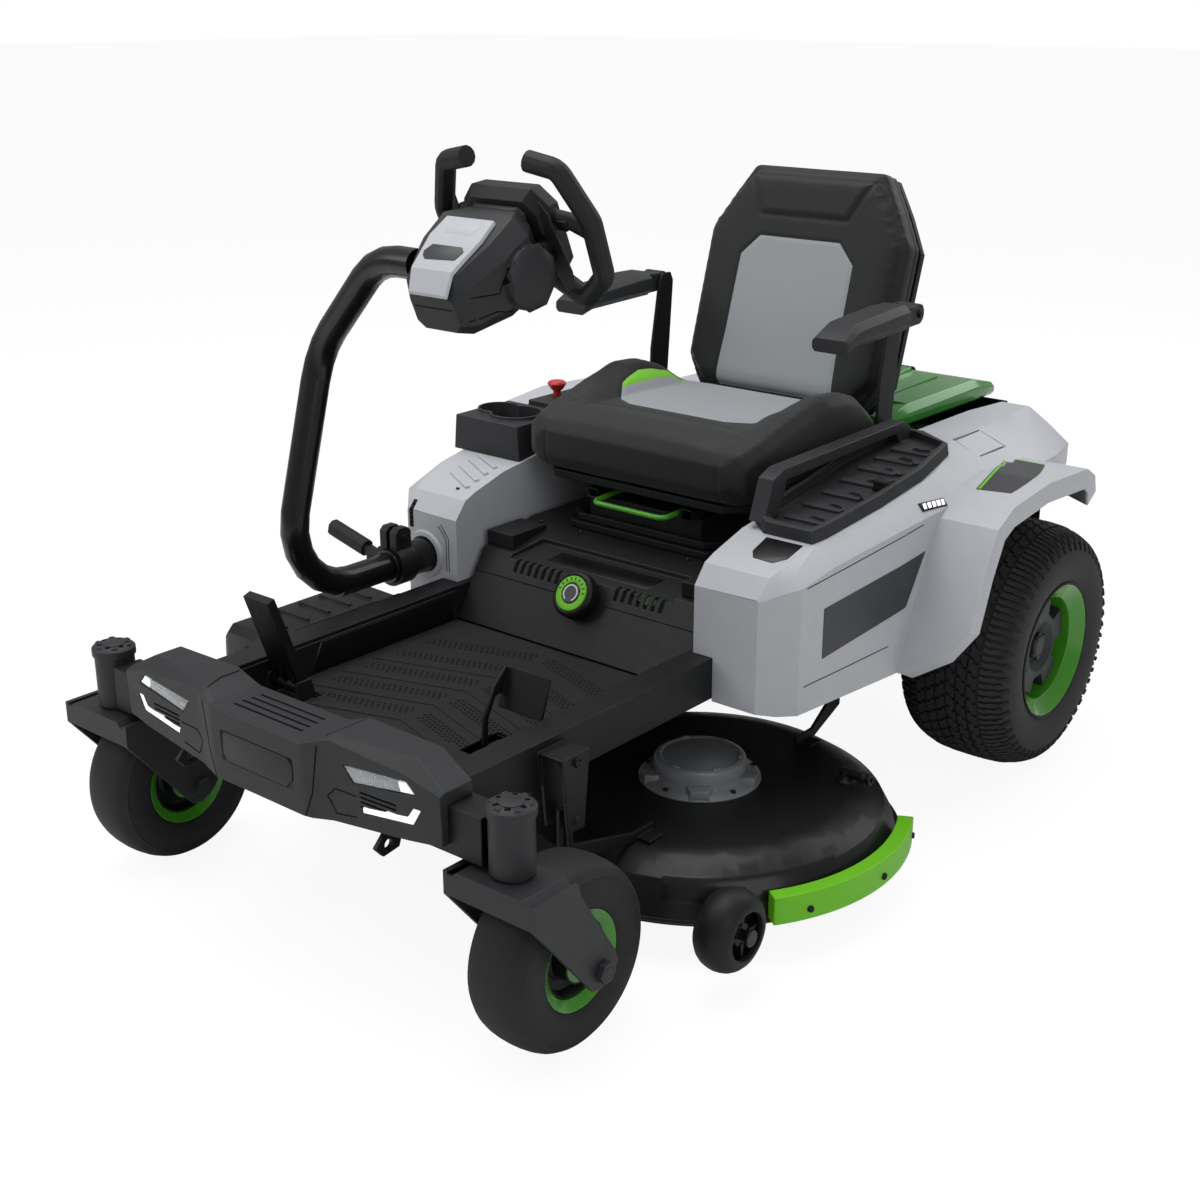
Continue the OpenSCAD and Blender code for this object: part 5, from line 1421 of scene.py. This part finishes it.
@dataclass
class ChassisDetails:
    """Plates, screws and rubber patterns of the frame, the seat box and the floor."""

    floor_z: float = 307.8
    bar_pitch: float = 72.0      # distance of the mat's bars
    dot_step: float = 9.6        # distance of the dots in a row

    def rail_plate(self) -> None:
        """Bare black plate on the right rail's inner face."""
        skin = Skin("floor_pan")
        outline = [(-150, -1076, 312), (-150, -745, 312), (-150, -745, 361), (-150, -1052, 361)]
        bevelled_plate("rail_plain_plate", skin, outline, (-1, 0, 0), PLATE_BLACK, 1.0)

    def seat_box(self) -> None:
        """Bare plates, screws and a near-black strip of painted shade along the fold line of the seat box."""
        skin = Skin("seat_box")
        outline = [(-118, -644, 444), (112, -644, 444), (118, -604, 444), (-112, -604, 444)]
        bevelled_plate("recess_plain_plate", skin, outline, (0, 0, -1), PLATE_BLACK, 0.8)
        bm = bmesh.new()
        for x in (-214, -120, 120, 214):
            at = skin.touch((x, -545, 560), (0, 0, -1))
            screw(bm, at, Vector((0, 0, 1)), 4.5)
        publish(bm, "seat_box_screws", BOLT_STEEL, "chassis")
        bm = bmesh.new()
        # Painted shade: a near-black strip along the fold line
        skin.line(bm, [(-246, -800, 389), (246, -800, 389)], (0, 1, 0), 1.4, 0.3, 10)
        publish(bm, "seat_box_fold", GAP_SHADE_BLACK, "chassis")

    def mat_dots(self) -> None:
        """Rows of small dots between the mat's bars."""
        skin = Skin("floor_mat")
        bm = bmesh.new()
        for row in range(5):
            for side in (1, -1):
                for i in range(20):
                    for k in range(4):
                        x = 14 + i * self.dot_step + (k % 2) * self.dot_step / 2
                        y = -1083.0 + row * self.bar_pitch - 70 * x / 220 + k * 8
                        if not (-1120 < y < -760 and abs(x) < 226):
                            continue
                        at = skin.tree.ray_cast(Vector((side * x, y, 400)), Vector((0, 0, -1)))[0]
                        if at is None or at.z > self.floor_z + 5.0 or at.z < self.floor_z + 3.0:
                            continue
                        place = Matrix.Translation(at + Vector((0, 0, 0.7)))
                        bmesh.ops.create_cone(bm, cap_ends=True, segments=6, radius1=2.9, radius2=1.9,
                                              depth=2.0, matrix=place)
        publish(bm, "mat_dots", MAT_RUBBER, "chassis")

    def bolts(self) -> None:
        """Bolt heads of the motor plates, the hangers and the forks."""
        bm = bmesh.new()
        for side in Side:
            s = side.value
            for y in (-70, 70):
                for z in (178, 300):
                    screw(bm, Vector((s * 308, y, z)), Vector((s, 0, 0)), 7.0)
            for y in (-1100, -380):
                screw(bm, Vector((s * 346, y, 344)), Vector((s, 0, 0)), 8.0)
        publish(bm, "frame_bolts", BOLT_STEEL, "chassis")

    def wash_port(self) -> None:
        """Hose elbow of the deck's wash port."""
        shell = Skin("deck_shell")
        foot = shell.touch((462, -560, 260), (0, 0, -1))
        bm = bmesh.new()
        turned(bm, [(0, -3), (17, -3), (17, 3), (12, 6), (9, 8), (9, 20), (0, 20)], foot, "Z", 32, False)
        bend = foot + Vector((0, 0, 16))
        turned(bm, [(0, -8), (8, -8), (8, 30), (9.5, 31), (9.5, 36), (8, 37), (8, 42), (9.5, 43), (9.5, 48),
                    (5, 48), (5, 40), (0, 40)], bend, "X", 24, False)
        bevelled(bm, 0.6, 40)
        publish(bm, "wash_port", BLACK_PLASTIC, "deck")

    def build(self) -> None:
        """Make the details."""
        for part in (self.rail_plate, self.seat_box, self.mat_dots, self.bolts, self.wash_port):
            part()


# ---------- steering head ----------

@dataclass
class SteeringDetails:
    """Badge, side covers, switches, painted shade along the seams, and screws of the steering head and yoke."""

    lean: float = 23.0
    origin: Point = (0.0, -820.0, 1019.8)

    def placed(self) -> Matrix:
        """The yoke's own leaning frame in machine millimetres."""
        return Matrix.Translation(Vector(self.origin)) @ Matrix.Rotation(math.radians(self.lean), 4, "X")

    def mask_badge(self) -> None:
        """Bare dark badge and the dished panel on the mask."""
        place, skin = self.placed(), Skin("head_mask")
        way = (place.to_3x3() @ Vector((0, 0, -1)))
        badge = [(-34, -168), (-38, -160), (-30, -146), (30, -146), (38, -154), (32, -170), (-26, -174)]
        dish = [(-34, -104), (34, -104), (28, -122), (-28, -122)]
        for name, line, finish, thick in (("mask_badge", badge, PLATE_GREY, 1.2),
                                          ("mask_dish", dish, LIGHT_PLASTIC, 0.5)):
            outline = [place @ Vector((x, n, 140)) for x, n in line]
            bevelled_plate(name, skin, outline, way, finish, thick)

    def side_cover(self, side: Side) -> None:
        """Faceted round cover on the head's side."""
        s = side.value
        bm = bmesh.new()
        ring = []
        facets = [math.radians(45 * i + 10) for i in range(8)]
        for r, x in ((50, 96.5), (50, 99), (44, 104), (26, 107)):
            ring.append([Vector((s * x, -94 + r * math.cos(a), -14 + r * math.sin(a))) for a in facets])
        loft(bm, ring)
        bevelled(bm, 1.2, 14)
        bm.transform(self.placed())
        publish(bm, f"head_side_cover_{side.word}", DARK_PLASTIC, "column")

    def head_gaps(self) -> None:
        """Painted shade: near-black strips along the panel gap lines of the head's lower shell."""
        skin, place = Skin("steering_head"), self.placed()
        bm = bmesh.new()
        for side in Side:
            s = side.value
            for path in (((-190, 4), (-150, -10), (-128, 20), (-96, 34)),
                         ((-200, -30), (-160, -34), (-132, -50))):
                points = [place @ Vector((s * 200, n, v)) for n, v in path]
                skin.line(bm, points, place.to_3x3() @ Vector((-s, 0, 0)), 1.8, 0.3)
        points = [place @ Vector((x, -300, -8)) for x in (-38, 38)]
        skin.line(bm, points, place.to_3x3() @ Vector((0, 1, 0)), 1.8, 0.3)
        publish(bm, "head_gaps", GAP_SHADE_BLACK, "column")

    def yoke_details(self) -> None:
        """Thumb switches, cover steps and screws of the yoke's housing."""
        place = self.placed()
        bm = bmesh.new()
        prism(bm, upright(cut_corners(-54, 30, 54, 62, 10), -31), Vector((0, -9, 0)), 0.9)
        prism(bm, upright(cut_corners(-60, -48, 60, 18, 14), -31), Vector((0, -5, 0)), 0.94)
        prism(bm, upright(cut_corners(-44, -34, 44, 42, 12), 22), Vector((0, 5, 0)), 0.9)
        bevelled(bm, 1.2, 30)
        for x in (-40, 40):
            screw(bm, Vector((x, -40.5, 46)), Vector((0, -1, 0)), 5.0)
        bm.transform(place)
        publish(bm, "yoke_housing_covers", DARK_PLASTIC, "steering_yoke")
        bm = bmesh.new()
        prism(bm, upright(cut_corners(-34, -20, 34, 30, 6), 27.2), Vector((0, 1.4, 0)), 0.97)
        bevelled(bm, 0.5, 30)
        bm.transform(place)
        publish(bm, "yoke_display", PLATE_BLACK, "steering_yoke")
        bm = bmesh.new()
        for side in Side:
            s = side.value
            body = [(s * 92, 36), (s * 112, 34), (s * 112, 18), (s * 92, 20)]
            prism(bm, upright(body, -16), Vector((0, 30, 0)))
            paddle = [(s * 70, 12), (s * 86, 10), (s * 84, -26), (s * 72, -26)]
            prism(bm, upright(paddle, -44), Vector((0, 16, 0)))
        bevelled(bm, 2.0, 30)
        bm.transform(place)
        publish(bm, "yoke_switches", BLACK_PLASTIC, "steering_yoke")

    def build(self) -> None:
        """Make the steering's details."""
        self.mask_badge()
        for side in Side:
            self.side_cover(side)
        self.head_gaps()
        self.yoke_details()


# ---------- hood ----------

@dataclass
class HoodDetails:
    """Ribs, latch and lamp of the battery hood and the tail."""

    def build(self) -> None:
        """Make the hood's details."""
        skin = Skin("hood")
        bm = bmesh.new()
        for x in (-150, 0, 150):
            skin.line(bm, [(x, 20, 700), (x, 230, 700)], (0, 0, -1), 7.0, 2.0, 6)
        bevelled(bm, 0.8, 30)
        publish(bm, "hood_ribs", HOOD_PLASTIC, skin.body)
        low, high = extent("hood")
        bm = bmesh.new()
        mid = Vector((0, high.y - 4, (low.z + high.z) / 2 - 6))
        prism(bm, [mid + p for p in upright(cut_corners(-34, -9, 34, 9, 5), 0)], Vector((0, 9, 0)), 0.88)
        bevelled(bm, 1.2, 30)
        publish(bm, "hood_latch", BLACK_PLASTIC, skin.body)
        tail = Skin("rear_guard")
        for side in Side:
            s = side.value
            outline = [(s * x, 520, z) for x, z in ((120, 500), (200, 500), (214, 530), (134, 530))]
            bevelled_plate(f"tail_lamp_{side.word}", tail, outline, (0, -1, 0), LENS_RED, 3.0, 0.8)


# ---------- seat ----------

def off_line(a: tuple[float, float], b: tuple[float, float], x: float, y: float) -> float:
    """Distance of a point to the straight line between two others."""
    ex, ey = b[0] - a[0], b[1] - a[1]
    share = max(0.0, min(1.0, ((x - a[0]) * ex + (y - a[1]) * ey) / (ex * ex + ey * ey)))
    return math.hypot(x - a[0] - share * ex, y - a[1] - share * ey)


def inside(outline: Outline, x: float, y: float) -> float:
    """Signed distance of a point to an outline, positive inside.

    Args:
        outline: Corners of the outline.
        x: First coordinate of the point.
        y: Second coordinate of the point.

    Returns:
        The distance in the outline's unit.
    """
    best, within = math.inf, False
    for a, b in zip(outline, [*outline[1:], outline[0]]):
        best = min(best, off_line(a, b, x, y))
        if (a[1] > y) != (b[1] > y) and x < a[0] + (y - a[1]) * (b[0] - a[0]) / (b[1] - a[1]):
            within = not within
    return best if within else -best


def nearest(line: Outline, x: float, y: float) -> float:
    """Distance of a point to an open line.

    Args:
        line: Corners of the line.
        x: First coordinate of the point.
        y: Second coordinate of the point.

    Returns:
        The distance in the line's unit.
    """
    return min(off_line(a, b, x, y) for a, b in zip(line, line[1:]))


@dataclass(frozen=True)
class SeatCloth(Finish):
    """Seat cover with a grey panel and lime edges laid out by mesh attributes."""

    panel: str = "#94989c"
    edge: str = "#7cc832"

    def material(self) -> bpy.types.Material:
        """The cover's finish as a node material, made once."""
        found = bpy.data.materials.get(self.name)
        if found:
            return found
        bench = MaterialBench(self)
        made = bench.build()
        black = bench.shader.inputs["Base Color"].links[0].from_socket
        drift = bench.scaled(bench.threads(0.0022, "X"), 0.0, 1.0, 0.0, 1.0)
        grey = bench.blend(drift, tone(self.panel, 0.92), tone(self.panel, 1.06))
        on_panel = bench.scaled(bench.attribute("panel"), 0.0, 1.0, 0.0, 0.0006)
        on_edge = bench.scaled(bench.attribute("edge"), 0.0, 1.0, 0.0, 0.0006)
        lime = bench.blend(drift, tone(self.edge, 0.94), tone(self.edge, 1.05))
        colour = bench.blend(on_edge, bench.blend(on_panel, black, grey), lime)
        bench.links.new(colour, bench.shader.inputs["Base Color"])
        return made


CLOTH = SeatCloth("seat_cover_panelled", "seat_cover", "#191a1b", Grain.VINYL, rough=0.58, sheen=0.1, wear=0.0)


@dataclass
class Pad:
    """A padded piece that starts from a construction node and is blown up as cloth."""

    node: str
    name: str
    shrink: float = 5.0          # millimetres taken off all round before it swells
    voxel: float = 0.006
    pressure: float = 4.0
    cap: float = 0.010           # most that a point may rise, in metres
    rear_cap: float = 0.006      # the same on the side that faces backwards
    frames: int = 20
    fill: float = 0.8

    def start(self) -> bpy.types.Object:
        """A remeshed, slightly smaller copy of the node.

        Returns:
            The object, in row metres.
        """
        bm = Refiner().solid(self.node)
        bmesh.ops.triangulate(bm, faces=bm.faces)
        low, high = extent(self.node)
        mid, size = (low + high) / 2, high - low
        factor = Vector([1 - 2 * self.shrink / size[i] for i in range(3)])
        for v in bm.verts:
            v.co = Vector([mid[i] + (v.co[i] - mid[i]) * factor[i] for i in range(3)])
        bmesh.ops.recalc_face_normals(bm, faces=bm.faces)
        bm.transform(TO_ROW)
        mesh = bpy.data.meshes.new(self.name)
        bm.to_mesh(mesh)
        bm.free()
        pad = bpy.data.objects.new(self.name, mesh)
        bpy.context.scene.collection.objects.link(pad)
        remesh = pad.modifiers.new("remesh", "REMESH")
        remesh.mode = "VOXEL"
        remesh.voxel_size = self.voxel
        self.apply(pad)
        return pad

    @staticmethod
    def apply(pad: bpy.types.Object) -> None:
        """Replace the object's mesh with its evaluated one and drop the modifiers."""
        graph = bpy.context.evaluated_depsgraph_get()
        mesh = bpy.data.meshes.new_from_object(pad.evaluated_get(graph))
        old = pad.data
        pad.modifiers.clear()
        pad.data = mesh
        bpy.data.meshes.remove(old)

    @staticmethod
    def eased(mesh: bpy.types.Mesh, values: list[float], rounds: int = 14) -> list[float]:
        """Values of a mesh's points, averaged with their neighbours a few times.

        Args:
            mesh: The mesh.
            values: One value for each point.
            rounds: Number of rounds.

        Returns:
            The averaged values.
        """
        pairs = [tuple(e.vertices) for e in mesh.edges]
        for _ in range(rounds):
            total, count = list(values), [1] * len(values)
            for i, j in pairs:
                total[i] += values[j]
                total[j] += values[i]
                count[i] += 1
                count[j] += 1
            values = [t / c for t, c in zip(total, count)]
        return values

    def swell(self, pad: bpy.types.Object) -> None:
        """Blow the pad up as cloth, and keep the smooth, limited part of the swelling.

        Args:
            pad: The remeshed pad.
        """
        home = [v.co.copy() for v in pad.data.vertices]
        way = [v.normal.copy() for v in pad.data.vertices]
        cloth = pad.modifiers.new("cloth", "CLOTH")
        cloth.settings.use_pressure = True
        cloth.settings.uniform_pressure_force = self.pressure
        cloth.settings.effector_weights.gravity = 0.0
        cloth.settings.quality = 5
        cloth.point_cache.frame_start = 1
        cloth.point_cache.frame_end = self.frames
        for step in range(1, self.frames + 1):
            bpy.context.scene.frame_set(step)
        self.apply(pad)
        bpy.context.scene.frame_set(1)
        rise = [max(0.0, min(self.rear_cap if n.y > 0.25 else self.cap, (v.co - p).dot(n)))
                for v, p, n in zip(pad.data.vertices, home, way)]
        for v, p, n, r in zip(pad.data.vertices, home, way, self.eased(pad.data, rise)):
            v.co = p + n * r

    def kept_in(self, pad: bpy.types.Object, spare: float = 0.006) -> None:
        """Hold the pad within its node's box, apart from a little spare room.

        Args:
            pad: The pad.
            spare: How far fabric may stand proud, in metres.
        """
        low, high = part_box(self.node)
        for v in pad.data.vertices:
            for i in range(3):
                v.co[i] = max(low[i] - spare, min(high[i] + spare, v.co[i]))

    def build(self, carve: Callable[[Vector], tuple[float, float, float]], finish: Finish, body: str) -> None:
        """Swell the pad, subdivide it, carve the seams, lay out the panels and publish.

        Args:
            carve: Gives for a point in machine millimetres how deep its seam is, and its
                distances inside the panel and inside the lime edge.
            finish: Finish of the cover.
            body: Body that the pad rides on.
        """
        pad = self.start()
        self.swell(pad)
        self.kept_in(pad)
        smooth = pad.modifiers.new("smooth", "SMOOTH")
        smooth.factor = 0.5
        smooth.iterations = 3
        finer = pad.modifiers.new("finer", "SUBSURF")
        finer.levels = finer.render_levels = 1
        self.apply(pad)
        mesh = pad.data
        panel = mesh.attributes.new("panel", "FLOAT", "POINT")
        edge = mesh.attributes.new("edge", "FLOAT", "POINT")
        normals = [v.normal.copy() for v in mesh.vertices]
        for i, v in enumerate(mesh.vertices):
            depth, on_panel, on_edge = carve(TO_MACHINE @ v.co)
            panel.data[i].value = on_panel * MM
            edge.data[i].value = on_edge * MM
            v.co -= normals[i] * depth * MM
        mesh.shade_smooth()
        mesh.materials.clear()
        mesh.materials.append(finish.material())
        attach(pad, body)
        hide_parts(self.node)
        LOG.info("%s: %d faces on %s", self.name, len(mesh.polygons), body)


def groove(distance: float, depth: float, width: float) -> float:
    """Depth of a sewn channel.

    Args:
        distance: Distance from the seam's line.
        depth: Depth on the line.
        width: Half of the channel's width.

    Returns:
        The depth at that distance.
    """
    return depth * math.exp(-(distance / width) ** 2)


@dataclass
class Seat:
    """Seat: a waterfall cushion with side bolsters and a tall backrest."""

    lean: float = 17.0
    panel_front: float = -426.0
    seam_x: float = 188.0

    def __post_init__(self) -> None:
        """Read the seat's main places from its nodes."""
        self.cushion_low, self.cushion_high = extent("seat_cushion")
        self.back_low, self.back_high = extent("seat_back")

    def cushion_panel(self) -> list[tuple[float, float]]:
        """Outline of the cushion's grey panel with its lime edges, in x and y."""
        f = self.panel_front
        half = [(104, f), (142, f + 22), (170, f + 62), (188, f + 130), (186, f + 230), (160, f + 310),
                (120, f + 340)]
        return half + [(-x, y) for x, y in reversed(half)]

    def carve_cushion(self, p: Vector) -> tuple[float, float, float]:
        """Seams and panels of the cushion at a point.

        Args:
            p: Point in machine millimetres.

        Returns:
            Seam depth, distance inside the panel and distance inside the lime edge.
        """
        top = p.z > self.cushion_low.z + 55
        on_panel = inside(self.cushion_panel(), p.x, p.y) if top else -50.0
        inner = 161 + 0.03 * (p.y - self.panel_front)
        on_edge = min(on_panel, abs(p.x) - inner, p.y - self.panel_front - 40) if top else -50.0
        depth = groove(on_panel, 1.4, 3.5) if top else 0.0
        depth += groove(abs(p.x) - inner, 0.9, 3.0) if on_edge > -4 else 0.0
        bow = ((-self.seam_x + 4, 60), (-120, 36), (0, 30), (120, 36), (self.seam_x - 4, 60))
        across = [(x, self.panel_front - y) for x, y in bow]
        if p.y < self.panel_front and top:
            depth += groove(nearest(across, p.x, p.y), 1.6, 4.0)
        if p.y < self.panel_front - 56:
            depth += groove(abs(p.x) - self.seam_x, 1.3, 3.5)
        side = abs(p.x) > self.cushion_high.x - 26
        if side:
            lower = [(-530, self.cushion_low.z + 30), (-120, self.cushion_low.z + 44)]
            depth += groove(nearest(lower, p.y, p.z), 1.6, 3.5)
        return depth, on_panel, on_edge

    def on_back(self, p: Vector) -> tuple[float, float, float]:
        """A point in the backrest's own leaning frame.

        Args:
            p: Point in machine millimetres.

        Returns:
            Place across, height along the back and distance behind its foot.
        """
        turn = math.radians(self.lean)
        y, z = p.y - self.foot[0], p.z - self.foot[1]
        return p.x, z * math.cos(turn) + y * math.sin(turn), y * math.cos(turn) - z * math.sin(turn)

    @property
    def foot(self) -> tuple[float, float]:
        """Lower edge of the backrest's core, in y and z."""
        rise = self.cushion_low.z + 78
        return -122.0, rise

    def carve_back(self, p: Vector) -> tuple[float, float, float]:
        """Seams and panels of the backrest at a point.

        Args:
            p: Point in machine millimetres.

        Returns:
            Seam depth, distance inside the panel and distance inside the lime edge.
        """
        x, up, behind = self.on_back(p)
        front = behind < 26
        half = [(131, 12), (126, 120), (124, 262), (88, 300)]
        panel = half + [(-a, b) for a, b in reversed(half)]
        on_panel = inside(panel, x, up) if front else -50.0
        depth = groove(on_panel, 1.6, 3.5) if front else 0.0
        head = [(132, 414), (96, 340), (-96, 340), (-132, 414)]
        if front:
            on_head = inside(head, x, up)
            depth += groove(on_head, 2.6, 4.5) - max(0.0, min(3.0, on_head * 0.25))
        depth += groove(behind - 30, 1.8, 3.5)
        return depth, on_panel, -50.0

    def build(self) -> None:
        """Make both pads."""
        cushion = Pad("seat_cushion", "seat_cushion_pad")
        cushion.build(self.carve_cushion, CLOTH, "seat")
        back = Pad("seat_back", "backrest_pad", shrink=4.0, cap=0.008, rear_cap=0.0)
        back.build(self.carve_back, CLOTH, "seat")


# ---------- studio ----------

@dataclass
class Studio:
    """Camera, lamps and floor."""

    lens: float = 50.0
    sensor: float = 36.0
    eye: Point = (1729.1, -2707.2, 1363.0)
    down: float = 20.108
    around: float = 39.822
    floor_size: float = 80.0
    floor_lift: float = 0.84     # share of even white in the floor as the camera sees it
    ambient: float = 0.34        # strength of the surroundings as light

    def camera(self) -> None:
        """Place the camera."""
        data = bpy.data.cameras.new("view")
        data.lens = self.lens
        data.sensor_width = self.sensor
        eye = bpy.data.objects.new("view", data)
        bpy.context.scene.collection.objects.link(eye)
        eye.location = TO_ROW @ Vector(self.eye)
        eye.rotation_euler = (math.radians(90 - self.down), 0.0, math.radians(self.around))
        bpy.context.scene.camera = eye

    def lamp(self, name: str, at: Point, size: float, power: float) -> None:
        """A square soft lamp that faces the machine.

        Args:
            name: Name of the lamp.
            at: Its place in metres.
            size: Its side in metres.
            power: Its power in watts.
        """
        data = bpy.data.lights.new(name, "AREA")
        data.size = size
        data.energy = power
        lamp = bpy.data.objects.new(name, data)
        bpy.context.scene.collection.objects.link(lamp)
        lamp.location = at
        lamp.rotation_euler = (Vector((0, 0, 0.4)) - Vector(at)).to_track_quat("-Z", "Y").to_euler()

    def world(self) -> None:
        """Even pale surroundings, white where camera rays or transmission rays see them."""
        world = bpy.data.worlds.new("studio")
        bpy.context.scene.world = world
        world.use_nodes = True
        nodes, links = world.node_tree.nodes, world.node_tree.links
        path = nodes.new("ShaderNodeLightPath")
        seen = nodes.new("ShaderNodeMath")
        seen.operation = "MAXIMUM"
        links.new(path.outputs["Is Camera Ray"], seen.inputs[0])
        links.new(path.outputs["Is Transmission Ray"], seen.inputs[1])
        strength = nodes.new("ShaderNodeMapRange")
        strength.inputs["To Min"].default_value = self.ambient
        strength.inputs["To Max"].default_value = 1.0
        links.new(seen.outputs[0], strength.inputs["Value"])
        links.new(strength.outputs["Result"], nodes["Background"].inputs["Strength"])
        nodes["Background"].inputs["Color"].default_value = (1.0, 1.0, 1.0, 1.0)

    def floor(self) -> None:
        """A plain pale floor that keeps the machine's shadow."""
        bm = bmesh.new()
        bmesh.ops.create_grid(bm, x_segments=2, y_segments=2, size=self.floor_size / 2)
        mesh = bpy.data.meshes.new("floor")
        bm.to_mesh(mesh)
        bm.free()
        floor = bpy.data.objects.new("floor", mesh)
        bpy.context.scene.collection.objects.link(floor)
        paint = bpy.data.materials.new("floor_white")
        paint.use_nodes = True
        nodes, links = paint.node_tree.nodes, paint.node_tree.links
        shader = nodes["Principled BSDF"]
        shader.inputs["Base Color"].default_value = (0.86, 0.86, 0.86, 1.0)
        shader.inputs["Roughness"].default_value = 0.9
        shader.inputs["Specular IOR Level"].default_value = 0.1
        lit = nodes.new("ShaderNodeEmission")
        lit.inputs["Strength"].default_value = 1.09
        share = nodes.new("ShaderNodeMath")
        share.operation = "MULTIPLY"
        share.inputs[1].default_value = self.floor_lift
        links.new(nodes.new("ShaderNodeLightPath").outputs["Is Camera Ray"], share.inputs[0])
        mix = nodes.new("ShaderNodeMixShader")
        links.new(share.outputs[0], mix.inputs[0])
        links.new(shader.outputs[0], mix.inputs[1])
        links.new(lit.outputs[0], mix.inputs[2])
        links.new(mix.outputs[0], nodes["Material Output"].inputs["Surface"])
        mesh.materials.append(paint)

    def build(self) -> None:
        """Set the whole studio up."""
        self.camera()
        self.world()
        self.floor()
        self.lamp("top", (-0.6, -0.2, 4.2), 3.4, 110.0)
        self.lamp("key", (-2.6, -3.0, 3.0), 2.4, 45.0)
        self.lamp("fill", (3.6, -1.6, 2.2), 2.4, 24.0)
        self.lamp("rim", (0.8, 3.4, 3.0), 2.6, 40.0)
        bpy.context.scene.view_settings.view_transform = "Standard"


# ---------- the machine ----------

# Construction nodes that keep their shape, with their finish and the width of their rounded edges
DRESSED: tuple[tuple[Finish, float, tuple[str, ...]], ...] = (
    (FRAME_PAINT, 1.6, ("main_frame", "floor_pan", "rear_guard", "deck_hangers", "seat_carriage",
                        "battery_bay", "wheel_motors", "clamp")),
    (BOX_PAINT, 1.6, ("seat_box",)),
    (TUBE_PAINT, 0.8, ("column_sleeve", "column_tube")),
    (DECK_PAINT, 1.5, ("deck_shell",)),
    (FORK_PAINT, 1.6, ("swivel_tubes", "fork_left", "fork_right")),
    (DARK_PLASTIC, 1.6, ("bumper_cover", "steering_head", "armrest_left", "armrest_right")),
    (TRAY_PLASTIC, 1.8, ("tray_left", "cup_holder", "control_panel")),
    (BLACK_PLASTIC, 1.4, ("seat_boot", "clamp_lever", "seat_pan", "back_shell", "chute")),
    (GRIP_PLASTIC, 1.4, ("yoke",)),
    (LIGHT_PLASTIC, 2.6, ("cowl_left", "cowl_right", "charge_door")),
    (MASK_PLASTIC, 1.4, ("head_mask",)),
    (MAT_RUBBER, 0.6, ("floor_mat",)),
    (RIM_PAINT, 1.0, ("rear_rim_left", "rear_rim_right", "front_rim_left", "front_rim_right")),
    (LEVER_PAINT, 0.6, ("seat_lever",)),
    (HOOD_PLASTIC, 2.0, ("hood",)),
    (STEEL, 0.8, ("blade_left", "blade_right")),
    (PEDAL_PAINT, 1.0, ("drive_pedal", "lift_pedal")),
    (KNOB_PLASTIC, 1.6, ("stop_knob",)),
    (PACK_PLASTIC, 2.0, ("battery_packs",)),
    (LIME_PLASTIC, 2.0, ("deck_guard",)),
)


def dress_machine() -> None:
    """Refine every construction node that keeps its shape."""
    refiner = Refiner()
    for finish, width, nodes in DRESSED:
        for node in nodes:
            refiner.dress(node, finish, width)


def main() -> None:
    """Build the looks, one sub-assembly after the other."""
    Studio().build()
    dress_machine()
    for side in Side:
        for part in (TurfTyre, CasterTyre, GaugeRoller, HubCover, FrontHub):
            part(side).build()
    FrontEnd().build()
    DeckTop().build()
    HeightDial().build()
    Pods().build()
    ChassisDetails().build()
    SteeringDetails().build()
    HoodDetails().build()
    Seat().build()


if __name__ == "__main__":
    main()
